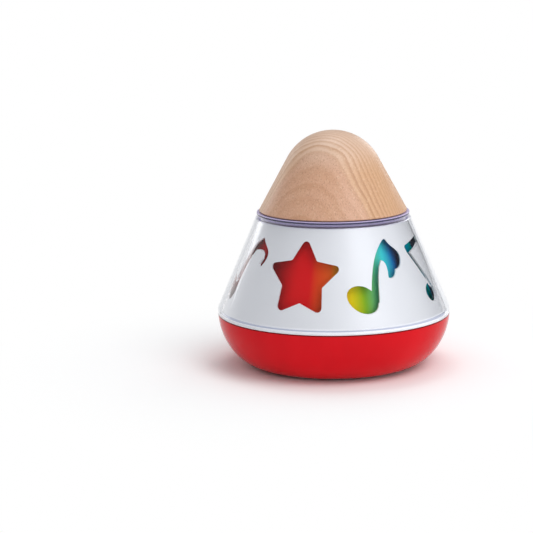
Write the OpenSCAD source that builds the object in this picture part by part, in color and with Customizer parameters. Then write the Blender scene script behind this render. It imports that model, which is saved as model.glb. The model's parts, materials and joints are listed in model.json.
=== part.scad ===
// Wind-up music box for a baby. Twisting the wooden knob winds a spring in the red bowl. As the
// spring runs down, a rainbow drum turns behind the star and note windows of the silver sleeve,
// and a pinned cylinder plays a steel comb.
// Millimetres, Z up, the table at Z 0. The front faces -Y, and a turn is counted from there to +X.

/* [Base bowl] */
// Radius at the rim, the widest place of the object
rim_r = 55; // [54.5:0.5:60]
// Height of the rim above the table
base_h = 25; // [24.5:0.5:30]
// Radius of the flat bottom
bowl_flat_r = 37.4; // [36.8:0.2:39]
// Exponent of the side's curve: 2 is an ellipse, more is squarer
bowl_bulge = 1.8; // [1.75:0.05:2.2]
// Wall thickness
bowl_wall = 2.4; // [2:0.1:2.6]
// Number of sound holes in the outer of two rings
sound_holes = 12; // [8:1:14]
// Diameter of a sound hole
sound_hole_d = 2.4; // [1.6:0.1:2.8]
// Distance of the three closing screws from the middle
close_r = 28; // [27.5:0.1:28.4]
// Height of the posts that the closing screws pass through
close_post_h = 10.8; // [9:0.2:12]

/* [Foot ring] */
// Radius of the ring's middle line
foot_mid_r = 34.2; // [33.8:0.2:35]
// Width of the ring
foot_w = 3.6; // [2.4:0.1:4]
// How far the ring stands out of the bottom
foot_proud = 0.8; // [0.5:0.1:1.5]
// How deep the ring is let into the bottom
foot_sunk = 0.8; // [0.5:0.1:1.2]

/* [Clear shell] */
// Height of the upright band at the shell's foot
band_h = 2.4; // [2:0.1:4]
// Height of the cone
cone_h = 42.8; // [41:0.2:48]
// Radius of the cone at its top
cone_top_r = 36.6; // [35.4:0.2:39]
// How far the collar steps in from the cone's top
collar_inset = 0.6; // [0.2:0.1:1]
// Height of the collar under the knob
collar_h = 2.8; // [2.4:0.1:4]
// Wall thickness
shell_wall = 1.8; // [1.4:0.1:2.2]

/* [Silver sleeve] */
// Thickness of the sheet
sleeve_t = 0.7; // [0.3:0.1:0.8]
// Height of the windows' middles above the cone's foot
window_rise = 20.4; // [20:0.2:22]
// Turn of the first star from the front
first_turn = -18.5; // [-45:0.1:45]
// Turn of the note with two flags from the star
double_turn = 46.2; // [44:0.1:48]
// Turn of the pair of notes from the star
pair_turn = 93.8; // [90:0.1:95]
// Turn of the note with one flag from the star
single_turn = 133.9; // [132:0.1:136]
// Radius of the star at its points, before they are rounded
star_r = 18.4; // [15:0.2:19]
// Radius of the star at its hollows
star_hollow_r = 10; // [8:0.1:11]
// Rounding of the star's points
star_round = 1.9; // [0.8:0.1:2.4]
// Size of the note windows against the drawn one
note_size = 1.04; // [0.8:0.02:1.1]

/* [Rainbow drum] */
// Space between the sleeve and the drum
drum_gap = 3; // [2:0.1:4]
// Wall thickness of the drum
drum_wall = 1.4; // [1:0.1:1.8]
// Space between the chassis ring and the drum's lower edge
drum_lift = 2.1; // [1.8:0.1:4]
// Number of round holes in the drum's web
web_holes = 6; // [4:1:7]

/* [Wooden knob] */
// Radius of the knob's foot
knob_r = 35.1; // [33:0.1:36]
// Height of the knob
knob_h = 37.8; // [34:0.2:42]
// Radius of the dome on top
dome_r = 24.4; // [20:0.2:27]
// Rounding of the lower edge
knob_edge = 0.9; // [0.4:0.1:1.5]
// Gap between the collar and the knob
knob_gap = 0.3; // [0.2:0.05:0.6]
// Radius of the hub's plate in the knob
hub_r = 24; // [22:0.5:26]

/* [Winding] */
// Diameter of the winding shaft
shaft_d = 6; // [5:0.1:6.4]
// Diameter of the cross pin in the hub
cross_d = 2; // [1.5:0.1:2.4]
// Number of ratchet teeth
ratchet_teeth = 12; // [10:1:16]
// Radius of the ratchet wheel
ratchet_r = 7.5; // [7:0.1:8]

/* [Spring drive] */
// Radius of the spring barrel
barrel_r = 12.5; // [12:0.1:13]
// Height of the spring barrel
barrel_h = 12; // [11:0.2:12.4]
// Number of face teeth on the great wheel
face_teeth = 40; // [36:2:44]
// Number of teeth on the cylinder's pinion
pinion_teeth = 16; // [15:1:17]
// Number of turns in the mainspring
spring_turns = 8; // [6:1:9]

/* [Tune] */
// Radius of the pinned cylinder
cylinder_r = 7; // [6.6:0.1:7.1]
// Height of a pin
pin_h = 0.8; // [0.6:0.1:0.8]
// Number of comb teeth
comb_teeth = 18; // [14:1:20]
// Distance between two comb teeth
comb_pitch = 0.76; // [0.7:0.01:0.9]
// Thickness of the comb
comb_t = 0.9; // [0.7:0.1:1.2]

/* [Governor] */
// Number of teeth on the cylinder's wheel
wheel_teeth = 40; // [40:1:42]
// Number of teeth on the governor's pinion
gov_teeth = 10; // [10:1:11]
// Number of teeth on the worm wheel
worm_teeth = 24; // [22:1:25]
// Radius of the fly
fly_r = 4; // [3.6:0.1:5]

/* [Fits] */
// Radial clearance of a shaft that turns in a bore
run_gap = 0.05; // [0.03:0.01:0.08]
// Clearance of pieces that slip together once
slip_gap = 0.1; // [0.05:0.01:0.12]
// Radial clearance round a screw's shank
screw_gap = 0.05; // [0.03:0.01:0.1]

/* [Hidden] */
$fn = 64;

// Heights in the bowl
floor_z = foot_proud + bowl_wall;
bed_t = 1.5;
bed_z = floor_z + 4.4;
bed_top = bed_z + bed_t;
bush_flange_t = 1;
wheel_z = bed_top + bush_flange_t + run_gap;
root_z = wheel_z + 1.4;

// Heights of the shell, the knob and the drum
cone_z = base_h + band_h;
collar_z = cone_z + cone_h;
collar_top = collar_z + collar_h;
knob_z = collar_top + knob_gap;
hub_z = knob_z + 0.2;
hub_t = 3;
hub_boss_h = 12.5;
lip_t = 1.2;
plate_top = collar_top - lip_t;
plate_t = 2.2;
plate_z = plate_top - plate_t;
boss_drop = 6;
boss_rise = 0.6;
boss_z = plate_z - boss_drop;
boss_top = plate_top + boss_rise;
drum_z = cone_z + drum_lift;
drum_top = plate_z - 1.4;
web_top = drum_top - 8.2;
web_t = 2;
drum_flange_t = 1.8;
hub_tube_top = web_top + 1.5;
window_z = cone_z + window_rise;

// Radii of the shell, the sleeve and the drum
slope = (rim_r - cone_top_r) / cone_h;
lean = sqrt(1 + slope * slope);
collar_r = cone_top_r - collar_inset;
socket_r = collar_r - shell_wall;
lip_r = socket_r - 1.6;
plate_r = socket_r - slip_gap;
function shell_out(z) = rim_r - slope * (z - cone_z);
function shell_in(z) = shell_out(z) - shell_wall * lean;
function sleeve_out(z) = shell_in(z) - slip_gap;
function sleeve_in(z) = sleeve_out(z) - sleeve_t * lean;
function drum_out(z) = sleeve_in(z) - drum_gap;
function drum_in(z) = drum_out(z) - drum_wall * lean;
web_r = drum_in(web_top) - slip_gap;
drum_flange_r = web_r - 5.3;
drum_screw_r = web_r - 3.3;

// The bowl's curve, with an inset of 0 outside and of the wall inside
bowl_run = rim_r - bowl_flat_r;
bowl_drop = base_h - foot_proud;
bowl_steps = 22;
function bowl_pt(a, inset) = [
    bowl_flat_r + (bowl_run - inset) * pow(cos(a), 2 / bowl_bulge),
    base_h - (bowl_drop - inset) * pow(sin(a), 2 / bowl_bulge)
];
function bowl_side(inset) = [for (i = [0 : bowl_steps]) bowl_pt(90 - 90 * i / bowl_steps, inset)];
function bowl_in(z) = bowl_flat_r + (bowl_run - bowl_wall)
    * pow(1 - pow((base_h - z) / (bowl_drop - bowl_wall), bowl_bulge), 1 / bowl_bulge);

// The chassis ring that carries the shell
ring_z = base_h - 3;
ring_skirt_r = bowl_in(ring_z) - slip_gap;
ring_r = shell_in(cone_z) - slip_gap;
ring_in_r = ring_skirt_r - 2.8;
close_turns = [70, 180, 290];
close_post_r = 4.2;
close_seat_z = foot_proud + 5.2;
close_top_z = floor_z + close_post_h;

// Plain screws: shank radius, head radius, head height
m25 = [1.25, 2.4, 1.4];
m20 = [1.0, 1.8, 1.0];

// The winding line
shaft_r = shaft_d / 2;
shaft_bore_r = shaft_r + run_gap;
bush_wall = 2;
boss_wall = 3;
pivot_r = 3.2;
pivot_bore_r = pivot_r + run_gap;
core_r = 4.2;
square_w = 4.2;
ratchet_t = 1.6;
ratchet_z = bed_z - 0.5 - ratchet_t;
ratchet_root = ratchet_r - 1.2;
click_t = ratchet_t - 0.2;
click_at = [-ratchet_r - 2.5, -11.5];
barrel_in = barrel_r - 1;
barrel_floor = root_z + 1.2;
barrel_top = root_z + barrel_h;
cap_t = 1.2;
cap_top = barrel_top + cap_t;
spigot_r = 5.5;
core_z = barrel_floor + 0.6;
core_top = barrel_top - 0.7;
arbor_top = cap_top - 0.1;
key_r = shaft_r - 1;
key_z = core_z + 1;
shaft_z = cap_top + 0.3;
shaft_top = hub_z + hub_boss_h - 1.7;
cross_z = hub_z + 7.5;
clip_t = 0.7;
clip_z = boss_z - 0.1 - clip_t;
hub_flange_t = 1.8;
hub_screw_r = 8.2;
hub_boss_r = 7;

// The wood screws that hold the hub in the knob
wood_screw = [1.5, 2.8, 1.4];
wood_screw_r = hub_r - 7;
wood_screw_turns = [30, 150, 270];
wood_screw_seat = 1.5;
wood_screw_bite = 10.5;

// Rivets of the great wheel and the barrel
rivet_r = barrel_in - 2;

// The great wheel's face teeth and the pinion that they drive
face_in = barrel_r + 0.7;
face_out = face_in + 2.4;
face_mid = (face_in + face_out) / 2;
face_m = 2 * face_mid / face_teeth;
pinion_r = face_m * pinion_teeth / 2;
face_pitch_z = root_z + 0.95 * face_m;
face_tip_z = face_pitch_z + 0.8 * face_m;
axis_z = face_pitch_z + pinion_r;

// Places along the cylinder's axis, outwards from the middle
pinion_x = barrel_r + 0.8;
pinion_w = 2.2;
post_w = 1.4;
post_half = 3;
post_peg = 4;
end_gap = 0.6;
post_x = face_out + end_gap;
cyl_x = post_x + post_w + end_gap;
cyl_len = comb_teeth * comb_pitch;
cyl_end = cyl_x + cyl_len;
wheel2_x = cyl_end + end_gap;
wheel2_w = 1.4;
out_post_x = wheel2_x + wheel2_w + 2 * end_gap;
axle_r = 1.5;
axle_bore_r = axle_r + run_gap;
axle_x = [barrel_r + 0.4, out_post_x + post_w + 0.4];

// The comb
comb_reach = 18.4;
comb_clamp = 7.6;
comb_bite = 4.8;
long_slot = 9.4;
short_slot = 5.6;
comb_tip_y = cylinder_r + pin_h + 0.2;
comb_back_y = comb_tip_y + comb_reach;
comb_block_y = comb_back_y - comb_clamp;
comb_screw_y = comb_back_y - comb_clamp / 2;
comb_z = axis_z - comb_t / 2;

// The governor
gear_m = 0.4;
wheel2_r = gear_m * wheel_teeth / 2;
wheel2_gap = 0.3;
gov_r = gear_m * gov_teeth / 2;
gov_y = -wheel2_r - gov_r;
gov_axle_r = 0.8;
worm_wheel_r = gear_m * worm_teeth / 2;
worm_r = 1.5;
worm_core_r = 0.95;
worm_tip_r = 1.85;
worm_lead = PI * gear_m;
worm_wheel_w = 1.4;
worm_x = wheel2_x + wheel2_w + 1.5 + worm_wheel_w / 2;
worm_y = gov_y - worm_wheel_r - worm_r;
ear_x = [wheel2_x - 1.8, worm_x + 2.2];
ear_t = 1.4;
bracket_t = 1.4;
bracket_z = bed_top + bracket_t;
arm_z = axis_z + worm_wheel_r - 0.2;
arm_t = 1.4;
fly_shaft_r = 0.7;
fly_z = arm_z + arm_t + 0.5;
fly_h = 2.8;
bed_r = bowl_in(bed_z) - 0.8;
bed_post_gap = 1;
bed_in_r = close_r - close_post_r - bed_post_gap;
bed_wing = close_r * sin(close_turns[0]) - close_post_r - bed_post_gap;

// Places of the screws in the bedplate
bed_edge = 4;
bed_holes = [
    [-face_out - 3, 3.5], [14, bed_edge - bed_wing], [cyl_end - 3.4, comb_tip_y + 5],
    [12, bed_wing - bed_edge / 2]
];
post_holes = [[post_x + post_w / 2, 0], [out_post_x + post_w / 2, 0]];
bracket_holes = [[wheel2_x - 0.2, worm_y - 0.4], [wheel2_x + 1.2, gov_y + 0.6]];
comb_holes = [[cyl_x + 0.24 * cyl_len, comb_screw_y], [cyl_x + 0.76 * cyl_len, comb_screw_y]];

// Points of an arc
function arc_pts(c, r, a0, a1, n) = [
    for (i = [0 : n]) let (a = a0 + (a1 - a0) * i / n) c + r * [cos(a), sin(a)]
];

// Points of an outline whose corners are [x, y, rounding]
function unit(v) = v / norm(v);
function corner(p, q, s, r) =
    let (u = unit(p - q), v = unit(s - q), half = acos(u * v) / 2)
    let (c = q + unit(u + v) * r / sin(half))
    let (p1 = q + u * r / tan(half) - c, p2 = q + v * r / tan(half) - c)
    let (a1 = atan2(p1[1], p1[0]), a2 = atan2(p2[1], p2[0]))
    let (turn = (a2 - a1 + 540) % 360 - 180, n = max(2, ceil(abs(turn) / 24)))
    r > 0 ? arc_pts(c, r, a1, a1 + turn, n) : [q];
function rounded(pts) = let (n = len(pts)) [
    for (i = [0 : n - 1])
        let (p = pts[(i + n - 1) % n], q = pts[i], s = pts[(i + 1) % n])
        each corner([p[0], p[1]], [q[0], q[1]], [s[0], s[1]], q[2])
];

// Points of a cubic curve, without its last one
function curve(a, b, c, d, n = 5) = [
    for (i = [0 : n - 1]) let (t = i / n, s = 1 - t)
        s * s * s * a + 3 * s * s * t * b + 3 * s * t * t * c + t * t * t * d
];

// Points of an involute gear's outline, one tooth at the angle "at"
function inv(a) = tan(a) - a * PI / 180;
function half_tooth(n, m, r, slack) =
    let (rp = m * n / 2, rb = rp * cos(20), a = r > rb ? acos(rb / r) : 0)
    180 / PI * ((PI * m / 2 - slack) / (2 * rp) + inv(20) - inv(a));
function gear_pts(n, m, slack, at) =
    let (rp = m * n / 2, rb = rp * cos(20), r0 = rp - 1.2 * m, r3 = rp + 0.85 * m)
    let (r1 = max(rb, r0 + 0.01), radii = [r0, r1, (r1 + r3) / 2, r3])
    [for (i = [0 : n - 1]) let (c = at + 360 * i / n) each [
        for (k = [0 : 3]) let (a = c - half_tooth(n, m, radii[k], slack)) radii[k] * [cos(a), sin(a)],
        for (k = [3 : -1 : 0]) let (a = c + half_tooth(n, m, radii[k], slack)) radii[k] * [cos(a), sin(a)]
    ]];

// A screw with its head's underside at the origin, its shank down and its head up
module screw(size, length, slot = true) {
    difference() {
        union() {
            translate([0, 0, -length])
                cylinder(r = size[0], h = length);
            cylinder(r = size[1], h = size[2]);
        }
        if (slot)
            translate([-size[1] * 1.2, -0.25, size[2] * 0.55])
                cube([size[1] * 2.4, 0.5, size[2]]);
    }
}

// A solid along +X from x0, drawn with its tooth angles counted from straight down
module along_x(x0, w, y = 0) {
    translate([x0, y, axis_z])
        rotate([0, 90, 0])
        linear_extrude(w)
        children();
}

// A hole down through everything
module hole(at, r, z0, z1) {
    translate([at[0], at[1], z0])
        cylinder(r = r, h = z1 - z0);
}

module gear(n, m, slack, at, bore) {
    difference() {
        polygon(gear_pts(n, m, slack, at));
        circle(r = bore);
    }
}

function close_at(a) = close_r * [cos(a), sin(a)];
function polar(r, a) = r * [cos(a), sin(a)];

module base_bowl() {
    color("#c4161f")
    difference() {
        union() {
            rotate_extrude()
                polygon(concat(
                    [[0, foot_proud]],
                    bowl_side(0),
                    [for (i = [bowl_steps : -1 : 0]) bowl_side(bowl_wall)[i]],
                    [[0, floor_z]]
                ));
            for (a = close_turns)
                hole(close_at(a), close_post_r, foot_proud + 0.4, close_top_z);
            for (p = bed_holes)
                hole(p, 3, foot_proud + 0.4, bed_z);
        }
        rotate_extrude()
            translate([foot_mid_r - foot_w / 2 - slip_gap, foot_proud - 1])
            square([foot_w + 2 * slip_gap, foot_sunk + 1]);
        for (a = close_turns) {
            hole(close_at(a), m25[0] + 0.25, foot_proud - 1, close_top_z + 1);
            hole(close_at(a), m25[1] + 0.5, foot_proud - 1, close_seat_z);
        }
        for (p = bed_holes)
            hole(p, m25[0] + screw_gap, bed_z - 4.2, bed_z + 1);
        for (i = [0 : sound_holes - 1])
            hole(polar(12, 360 * i / sound_holes + 15), sound_hole_d / 2, foot_proud - 1, floor_z + 1);
        for (i = [0 : 5])
            hole(polar(6.4, 60 * i), sound_hole_d / 2, foot_proud - 1, floor_z + 1);
    }
}

module foot_ring() {
    color("#3a3a3c")
    rotate_extrude()
        translate([foot_mid_r - foot_w / 2, 0])
        square([foot_w, foot_proud + foot_sunk]);
}

module base_screws() {
    color("silver")
    for (a = close_turns)
        translate([close_at(a)[0], close_at(a)[1], close_seat_z])
        rotate([180, 0, 0])
        screw(m25, close_top_z - close_seat_z + 6);
}

module chassis_ring() {
    color("white")
    difference() {
        union() {
            rotate_extrude()
                polygon([
                    [ring_in_r, ring_z], [ring_skirt_r, ring_z], [ring_skirt_r, base_h],
                    [ring_r, base_h], [ring_r, cone_z], [ring_in_r, cone_z]
                ]);
            for (a = close_turns) {
                hole(close_at(a), close_post_r, close_top_z, ring_z);
                rotate([0, 0, a])
                    translate([close_r, -3.2, ring_z - 2.4])
                    cube([ring_in_r + 0.6 - close_r, 6.4, 3.6]);
            }
        }
        for (a = close_turns)
            hole(close_at(a), m25[0] + screw_gap, close_top_z - 1, close_top_z + 7);
    }
}

module clear_shell() {
    color("#dfe8f4", 0.35)
    rotate_extrude()
        polygon([
            [shell_in(cone_z), base_h], [rim_r - 0.3, base_h], [rim_r, base_h + 0.3], [rim_r, cone_z],
            [cone_top_r, collar_z], [collar_r, collar_z], [collar_r, collar_top - 0.3],
            [collar_r - 0.3, collar_top], [lip_r, collar_top], [lip_r, plate_top],
            [socket_r, plate_top], [socket_r, collar_z], [shell_in(collar_z), collar_z],
            [shell_in(cone_z), cone_z]
        ]);
}

// The star window, its middle at the origin
module star_window() {
    polygon(rounded([
        for (i = [0 : 9])
            let (r = i % 2 == 0 ? star_r : star_hollow_r, a = 90 + 36 * i)
            [r * cos(a), r * sin(a), i % 2 == 0 ? star_round : 0.8]
    ]));
}

// An oval note head
module note_head(at, rx, ry, tilt) {
    polygon([
        for (i = [0 : 23])
            let (a = 15 * i, p = [rx * cos(a), ry * sin(a)])
            note_size * (at + [p[0] * cos(tilt) - p[1] * sin(tilt), p[0] * sin(tilt) + p[1] * cos(tilt)])
    ]);
}

// Stem and flag of the note with two flags
module double_stem() {
    polygon(note_size * concat(
        curve([-2.1, -10], [-1.1, -5], [-0.4, 3.6], [2.5, 7.2]),
        curve([2.5, 7.2], [4.7, 6.9], [5.1, 3.6], [4.6, 0.2]),
        curve([4.6, 0.2], [4.6, -0.4], [5.2, -0.6], [6.2, -0.6]),
        curve([6.2, -0.6], [7.6, -0.6], [8.6, 0.8], [9.1, 2.7]),
        curve([9.1, 2.7], [11.4, 2.4], [13.3, 4.7], [13, 8]),
        curve([13, 8], [12.6, 10.8], [8, 12.3], [6.7, 15.5]),
        curve([6.7, 15.5], [6.2, 15.9], [5.5, 15.6], [4.9, 15.2]),
        curve([4.9, 15.2], [2.8, 13.5], [-0.3, 9.7], [-2.1, 4.5]),
        curve([-2.1, 4.5], [-3.4, 1], [-4.4, -2.5], [-4.8, -5.4]),
        [[-4.8, -5.4], [-6.4, -9.2]]
    ));
}

// Stem and flag of the note with one flag
module single_stem() {
    polygon(note_size * concat(
        curve([-2.4, -10.6], [-2.4, -3.6], [-0.6, 5.4], [3.4, 9.6]),
        curve([3.4, 9.6], [7.4, 11.2], [11.4, 8.6], [8.8, 3.9]),
        curve([8.8, 3.9], [9.1, 3.3], [10, 3], [10.5, 3.4]),
        curve([10.5, 3.4], [11.6, 5], [12.2, 6.6], [12.1, 8.2]),
        curve([12.1, 8.2], [12, 11], [8, 12.2], [5.8, 15.2]),
        curve([5.8, 15.2], [2.8, 14], [-0.8, 10.2], [-2.4, 5.8]),
        curve([-2.4, 5.8], [-3.6, 2.6], [-4.9, -1], [-5.4, -4.6]),
        [[-5.4, -4.6], [-6.6, -8]]
    ));
}

// The two stems and the beam of the pair of notes
module pair_stems() {
    polygon(note_size * [
        [-6, -9], [-4, -7.8], [-11.2, 8], [0, 10.6], [6.5, -5], [8.5, -3.6],
        [1.8, 13.4], [1, 14.2], [-12.9, 11.5], [-13.6, 10.7], [-13.5, 8.6]
    ]);
}

// A window pushed out through the sleeve at one turn
module window_cut(turn) {
    rotate([0, 0, turn])
        translate([0, -drum_flange_r, window_z])
        rotate([90, 0, 0])
        linear_extrude(rim_r)
        children();
}

module silver_sleeve() {
    top = min(plate_z, collar_z) - slip_gap;
    color("#d5d9e0")
    difference() {
        rotate_extrude()
            polygon([
                [sleeve_in(cone_z), cone_z], [sleeve_out(cone_z), cone_z],
                [sleeve_out(top), top], [sleeve_in(top), top]
            ]);
        for (half = [0, 180]) {
            window_cut(first_turn + half) star_window();
            window_cut(first_turn + double_turn + half) double_stem();
            window_cut(first_turn + double_turn + half) note_head([-9.2, -8.3], 7, 5.5, -28);
            window_cut(first_turn + pair_turn + half) pair_stems();
            window_cut(first_turn + pair_turn + half) note_head([-7.9, -10.1], 4.4, 3.9, 20);
            window_cut(first_turn + pair_turn + half) note_head([4.6, -6], 4.4, 3.9, 20);
            window_cut(first_turn + single_turn + half) single_stem();
            window_cut(first_turn + single_turn + half) note_head([-9.3, -8.5], 6.8, 5.2, -28);
        }
    }
}

module top_plate() {
    color("#4b3f8f")
    difference() {
        union() {
            hole([0, 0], plate_r, plate_z, plate_top);
            hole([0, 0], shaft_r + bush_wall + boss_wall, boss_z, boss_top);
        }
        hole([0, 0], shaft_r + bush_wall + slip_gap / 2, boss_z - 1, boss_top + 1);
    }
}

module top_bush() {
    color("#b08d57")
    difference() {
        hole([0, 0], shaft_r + bush_wall, boss_z, boss_top);
        hole([0, 0], shaft_bore_r, boss_z - 1, boss_top + 1);
    }
}

module bedplate() {
    color("#b9bcc2")
    difference() {
        union() {
            translate([0, 0, bed_z])
                linear_extrude(bed_t)
                intersection() {
                    circle(r = bed_r);
                    union() {
                        circle(r = bed_in_r);
                        translate([0, -bed_wing])
                            square([bed_r, 2 * bed_wing]);
                        translate([face_out + 0.4, 0])
                            square([bed_r, comb_back_y + 1]);
                    }
                }
            translate([cyl_x, comb_block_y, bed_top - 0.2])
                cube([cyl_len, comb_back_y - comb_block_y, comb_z - bed_top + 0.2]);
        }
        hole([0, 0], pivot_r + 1.2 + slip_gap / 2, bed_z - 1, bed_top + 1);
        hole(click_at, m20[0] + screw_gap, bed_z - 1, bed_top + 1);
        for (p = bed_holes)
            hole(p, m25[0] + 0.15, bed_z - 1, bed_top + 1);
        for (p = post_holes)
            hole(p, m20[0] + 0.1, bed_z - 1, bed_top + 1);
        for (p = bracket_holes)
            hole(p, m20[0] + screw_gap, bed_z - 1, bed_top + 1);
        for (p = comb_holes)
            hole(p, m25[0] + screw_gap, comb_z - comb_bite - 0.4, comb_z + 1);
        along_x(wheel2_x - end_gap / 2, wheel2_w + end_gap)
            circle(r = wheel2_r + gear_m + wheel2_gap);
    }
}

module bed_screws() {
    color("silver")
    for (p = bed_holes)
        translate([p[0], p[1], bed_top])
        screw(m25, bed_t + 3.8);
}

module arbor_bush() {
    color("#b08d57")
    difference() {
        union() {
            hole([0, 0], pivot_r + 1.2, bed_z, bed_top + 0.2);
            hole([0, 0], pivot_r + 2.6, bed_top, bed_top + bush_flange_t);
        }
        hole([0, 0], pivot_bore_r, bed_z - 1, wheel_z + 1);
    }
}

// A leaf whose nose stops the ratchet against the spring's pull
module click_spring() {
    z0 = ratchet_z + 0.1;
    nose = ratchet_root + 0.45;
    color("#8d9299")
    difference() {
        union() {
            translate([0, 0, z0])
                linear_extrude(click_t)
                polygon([
                    [-nose, -0.1], [-nose - 1.2, -0.1], [-nose - 1.7, -1.2],
                    click_at + [-1.2, 2], click_at + [0.6, 2], [-nose - 0.7, -1.4]
                ]);
            hole(click_at, 2.6, z0, bed_z);
        }
        hole(click_at, m20[0] + 0.1, z0 - 1, bed_z + 1);
    }
}

module click_screw() {
    color("silver")
    translate([click_at[0], click_at[1], ratchet_z + 0.1])
        rotate([180, 0, 0])
        screw(m20, bed_top - ratchet_z - 0.1);
}

module cylinder_posts() {
    color("#b9bcc2")
    for (p = post_holes)
        difference() {
            translate([p[0] - post_w / 2, -post_half, bed_top])
                cube([post_w, 2 * post_half, axis_z + post_half - bed_top]);
            along_x(p[0] - post_w, 2 * post_w)
                circle(r = axle_bore_r);
            hole(p, post_w / 2 - 0.2, bed_top - 1, bed_top + post_peg + 0.2);
        }
}

module post_screws() {
    color("silver")
    for (p = post_holes) {
        translate([p[0], p[1], bed_z])
            rotate([180, 0, 0])
            screw(m20, bed_t - 0.1);
        hole(p, post_w / 2 - 0.2 - screw_gap, bed_top - 0.2, bed_top + post_peg);
    }
}

module comb() {
    gap = 0.3 * comb_pitch;
    color("#a9adb3")
    difference() {
        translate([cyl_x, comb_tip_y, comb_z])
            cube([cyl_len, comb_back_y - comb_tip_y, comb_t]);
        for (i = [1 : comb_teeth - 1])
            translate([cyl_x + i * comb_pitch - gap / 2, comb_tip_y - 1, comb_z - 1])
            cube([gap, 1 + long_slot - (long_slot - short_slot) * i / comb_teeth, comb_t + 2]);
        for (p = comb_holes)
            hole(p, m25[0] + 0.15, comb_z - 1, comb_z + comb_t + 1);
    }
}

module comb_screws() {
    color("silver")
    for (p = comb_holes)
        translate([p[0], p[1], comb_z + comb_t])
        screw(m25, comb_t + comb_bite);
}

module governor_bracket() {
    color("#d8d4c6")
    difference() {
        union() {
            intersection() {
                translate([ear_x[0] - 0.6, worm_y - 3.4, bed_top])
                    cube([ear_x[1] - ear_x[0] + ear_t + 1.2, gov_y - worm_y + 5.8, bracket_t]);
                hole([0, 0], bed_r + 0.6, bed_top, bracket_z);
            }
            for (x = ear_x)
                translate([x, gov_y - 1.6, bed_top + 0.2])
                cube([ear_t, 3.2, axis_z + 2 - bed_top - 0.2]);
            translate([worm_x - 1.5, worm_y - 3.4, bed_top + 0.2])
                cube([3, 1.2, arm_z + arm_t - bed_top - 0.2]);
            translate([worm_x - 1.5, worm_y - 3.4, arm_z])
                cube([3, 5, arm_t]);
        }
        along_x(ear_x[0] - 1, ear_x[1] - ear_x[0] + ear_t + 2, gov_y)
            circle(r = gov_axle_r + run_gap);
        hole([worm_x, worm_y], fly_shaft_r + run_gap, bed_top + 0.4, arm_z + arm_t + 1);
        for (p = bracket_holes)
            hole(p, m20[0] + 0.1, bed_top - 1, bracket_z + 1);
    }
}

module bracket_screws() {
    color("silver")
    for (p = bracket_holes)
        translate([p[0], p[1], bracket_z])
        screw([m20[0], 1.5, 0.9], bracket_t + bed_t - 0.1);
}

module wooden_knob() {
    c = [0, knob_z + knob_h - dome_r];
    foot = [knob_r, knob_z];
    reach = norm(foot - c);
    touch = atan2(foot[1] - c[1], foot[0] - c[0]) + acos(dome_r / reach);
    hub_top = hub_z + hub_t;
    boss_roof = hub_z + hub_boss_h + 0.5;
    color("#d9ad8c")
    difference() {
        rotate_extrude()
            polygon(concat(
                [[0, boss_roof], [hub_boss_r + 0.3, boss_roof], [hub_boss_r + 0.3, hub_top]],
                [[hub_r + slip_gap, hub_top], [hub_r + slip_gap, knob_z]],
                corner([hub_r, knob_z], foot, c + dome_r * [cos(touch), sin(touch)], knob_edge),
                [for (i = [0 : 23]) let (a = touch + (90 - touch) * i / 24) c + dome_r * [cos(a), sin(a)]],
                [[0, knob_z + knob_h]]
            ));
        for (a = wood_screw_turns)
            hole(polar(wood_screw_r, a), wood_screw[0] + screw_gap,
                hub_top - 1, hub_top + wood_screw_bite + 0.5);
    }
}

module knob_hub() {
    color("#ece9e2")
    difference() {
        union() {
            hole([0, 0], hub_r, hub_z, hub_z + hub_t);
            hole([0, 0], hub_boss_r, hub_z, hub_z + hub_boss_h);
        }
        hole([0, 0], shaft_r + slip_gap / 2, hub_z - 1, hub_z + hub_boss_h - 1.5);
        translate([-20, 0, cross_z])
            rotate([0, 90, 0])
            cylinder(r = cross_d / 2 + slip_gap / 2, h = 40);
        for (a = wood_screw_turns) {
            hole(polar(wood_screw_r, a), wood_screw[0] + slip_gap, hub_z - 1, hub_z + hub_t + 1);
            hole(polar(wood_screw_r, a), wood_screw[1] + 0.2, hub_z - 1, hub_z + wood_screw_seat);
        }
    }
}

module knob_screws() {
    color("silver")
    for (a = wood_screw_turns)
        translate([polar(wood_screw_r, a)[0], polar(wood_screw_r, a)[1], hub_z + wood_screw_seat])
        rotate([180, 0, 0])
        screw(wood_screw, hub_t - wood_screw_seat + wood_screw_bite);
}

module winding_shaft() {
    color("#c9ccd1")
    difference() {
        union() {
            hole([0, 0], shaft_r, shaft_z, shaft_top);
            intersection() {
                hole([0, 0], key_r, key_z + 0.3, shaft_z + 0.5);
                translate([-key_r * 2, -key_r * 2, key_z])
                    cube([key_r * 2.75, key_r * 4, shaft_z - key_z + 1]);
            }
        }
        difference() {
            hole([0, 0], shaft_r + 1, clip_z - 0.05, clip_z + clip_t + 0.05);
            hole([0, 0], shaft_r - 0.7, clip_z - 1, clip_z + clip_t + 1);
        }
        translate([-20, 0, cross_z])
            rotate([0, 90, 0])
            cylinder(r = cross_d / 2 + slip_gap / 2, h = 40);
    }
}

module hub_pin() {
    color("silver")
    translate([-6.9, 0, cross_z])
        rotate([0, 90, 0])
        cylinder(r = cross_d / 2, h = 13.8);
}

module shaft_clip() {
    color("#8d9299")
    translate([0, 0, clip_z])
        linear_extrude(clip_t)
        difference() {
            circle(r = shaft_r + 1.8);
            circle(r = shaft_r - 0.65);
            translate([0, -1.1])
                square([20, 2.2]);
        }
}

module thrust_washer() {
    color("#efe8d4")
    difference() {
        hole([0, 0], 7.6, boss_top, hub_z - 0.02);
        hole([0, 0], shaft_r + 0.2, boss_top - 1, hub_z + 1);
    }
}

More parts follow.
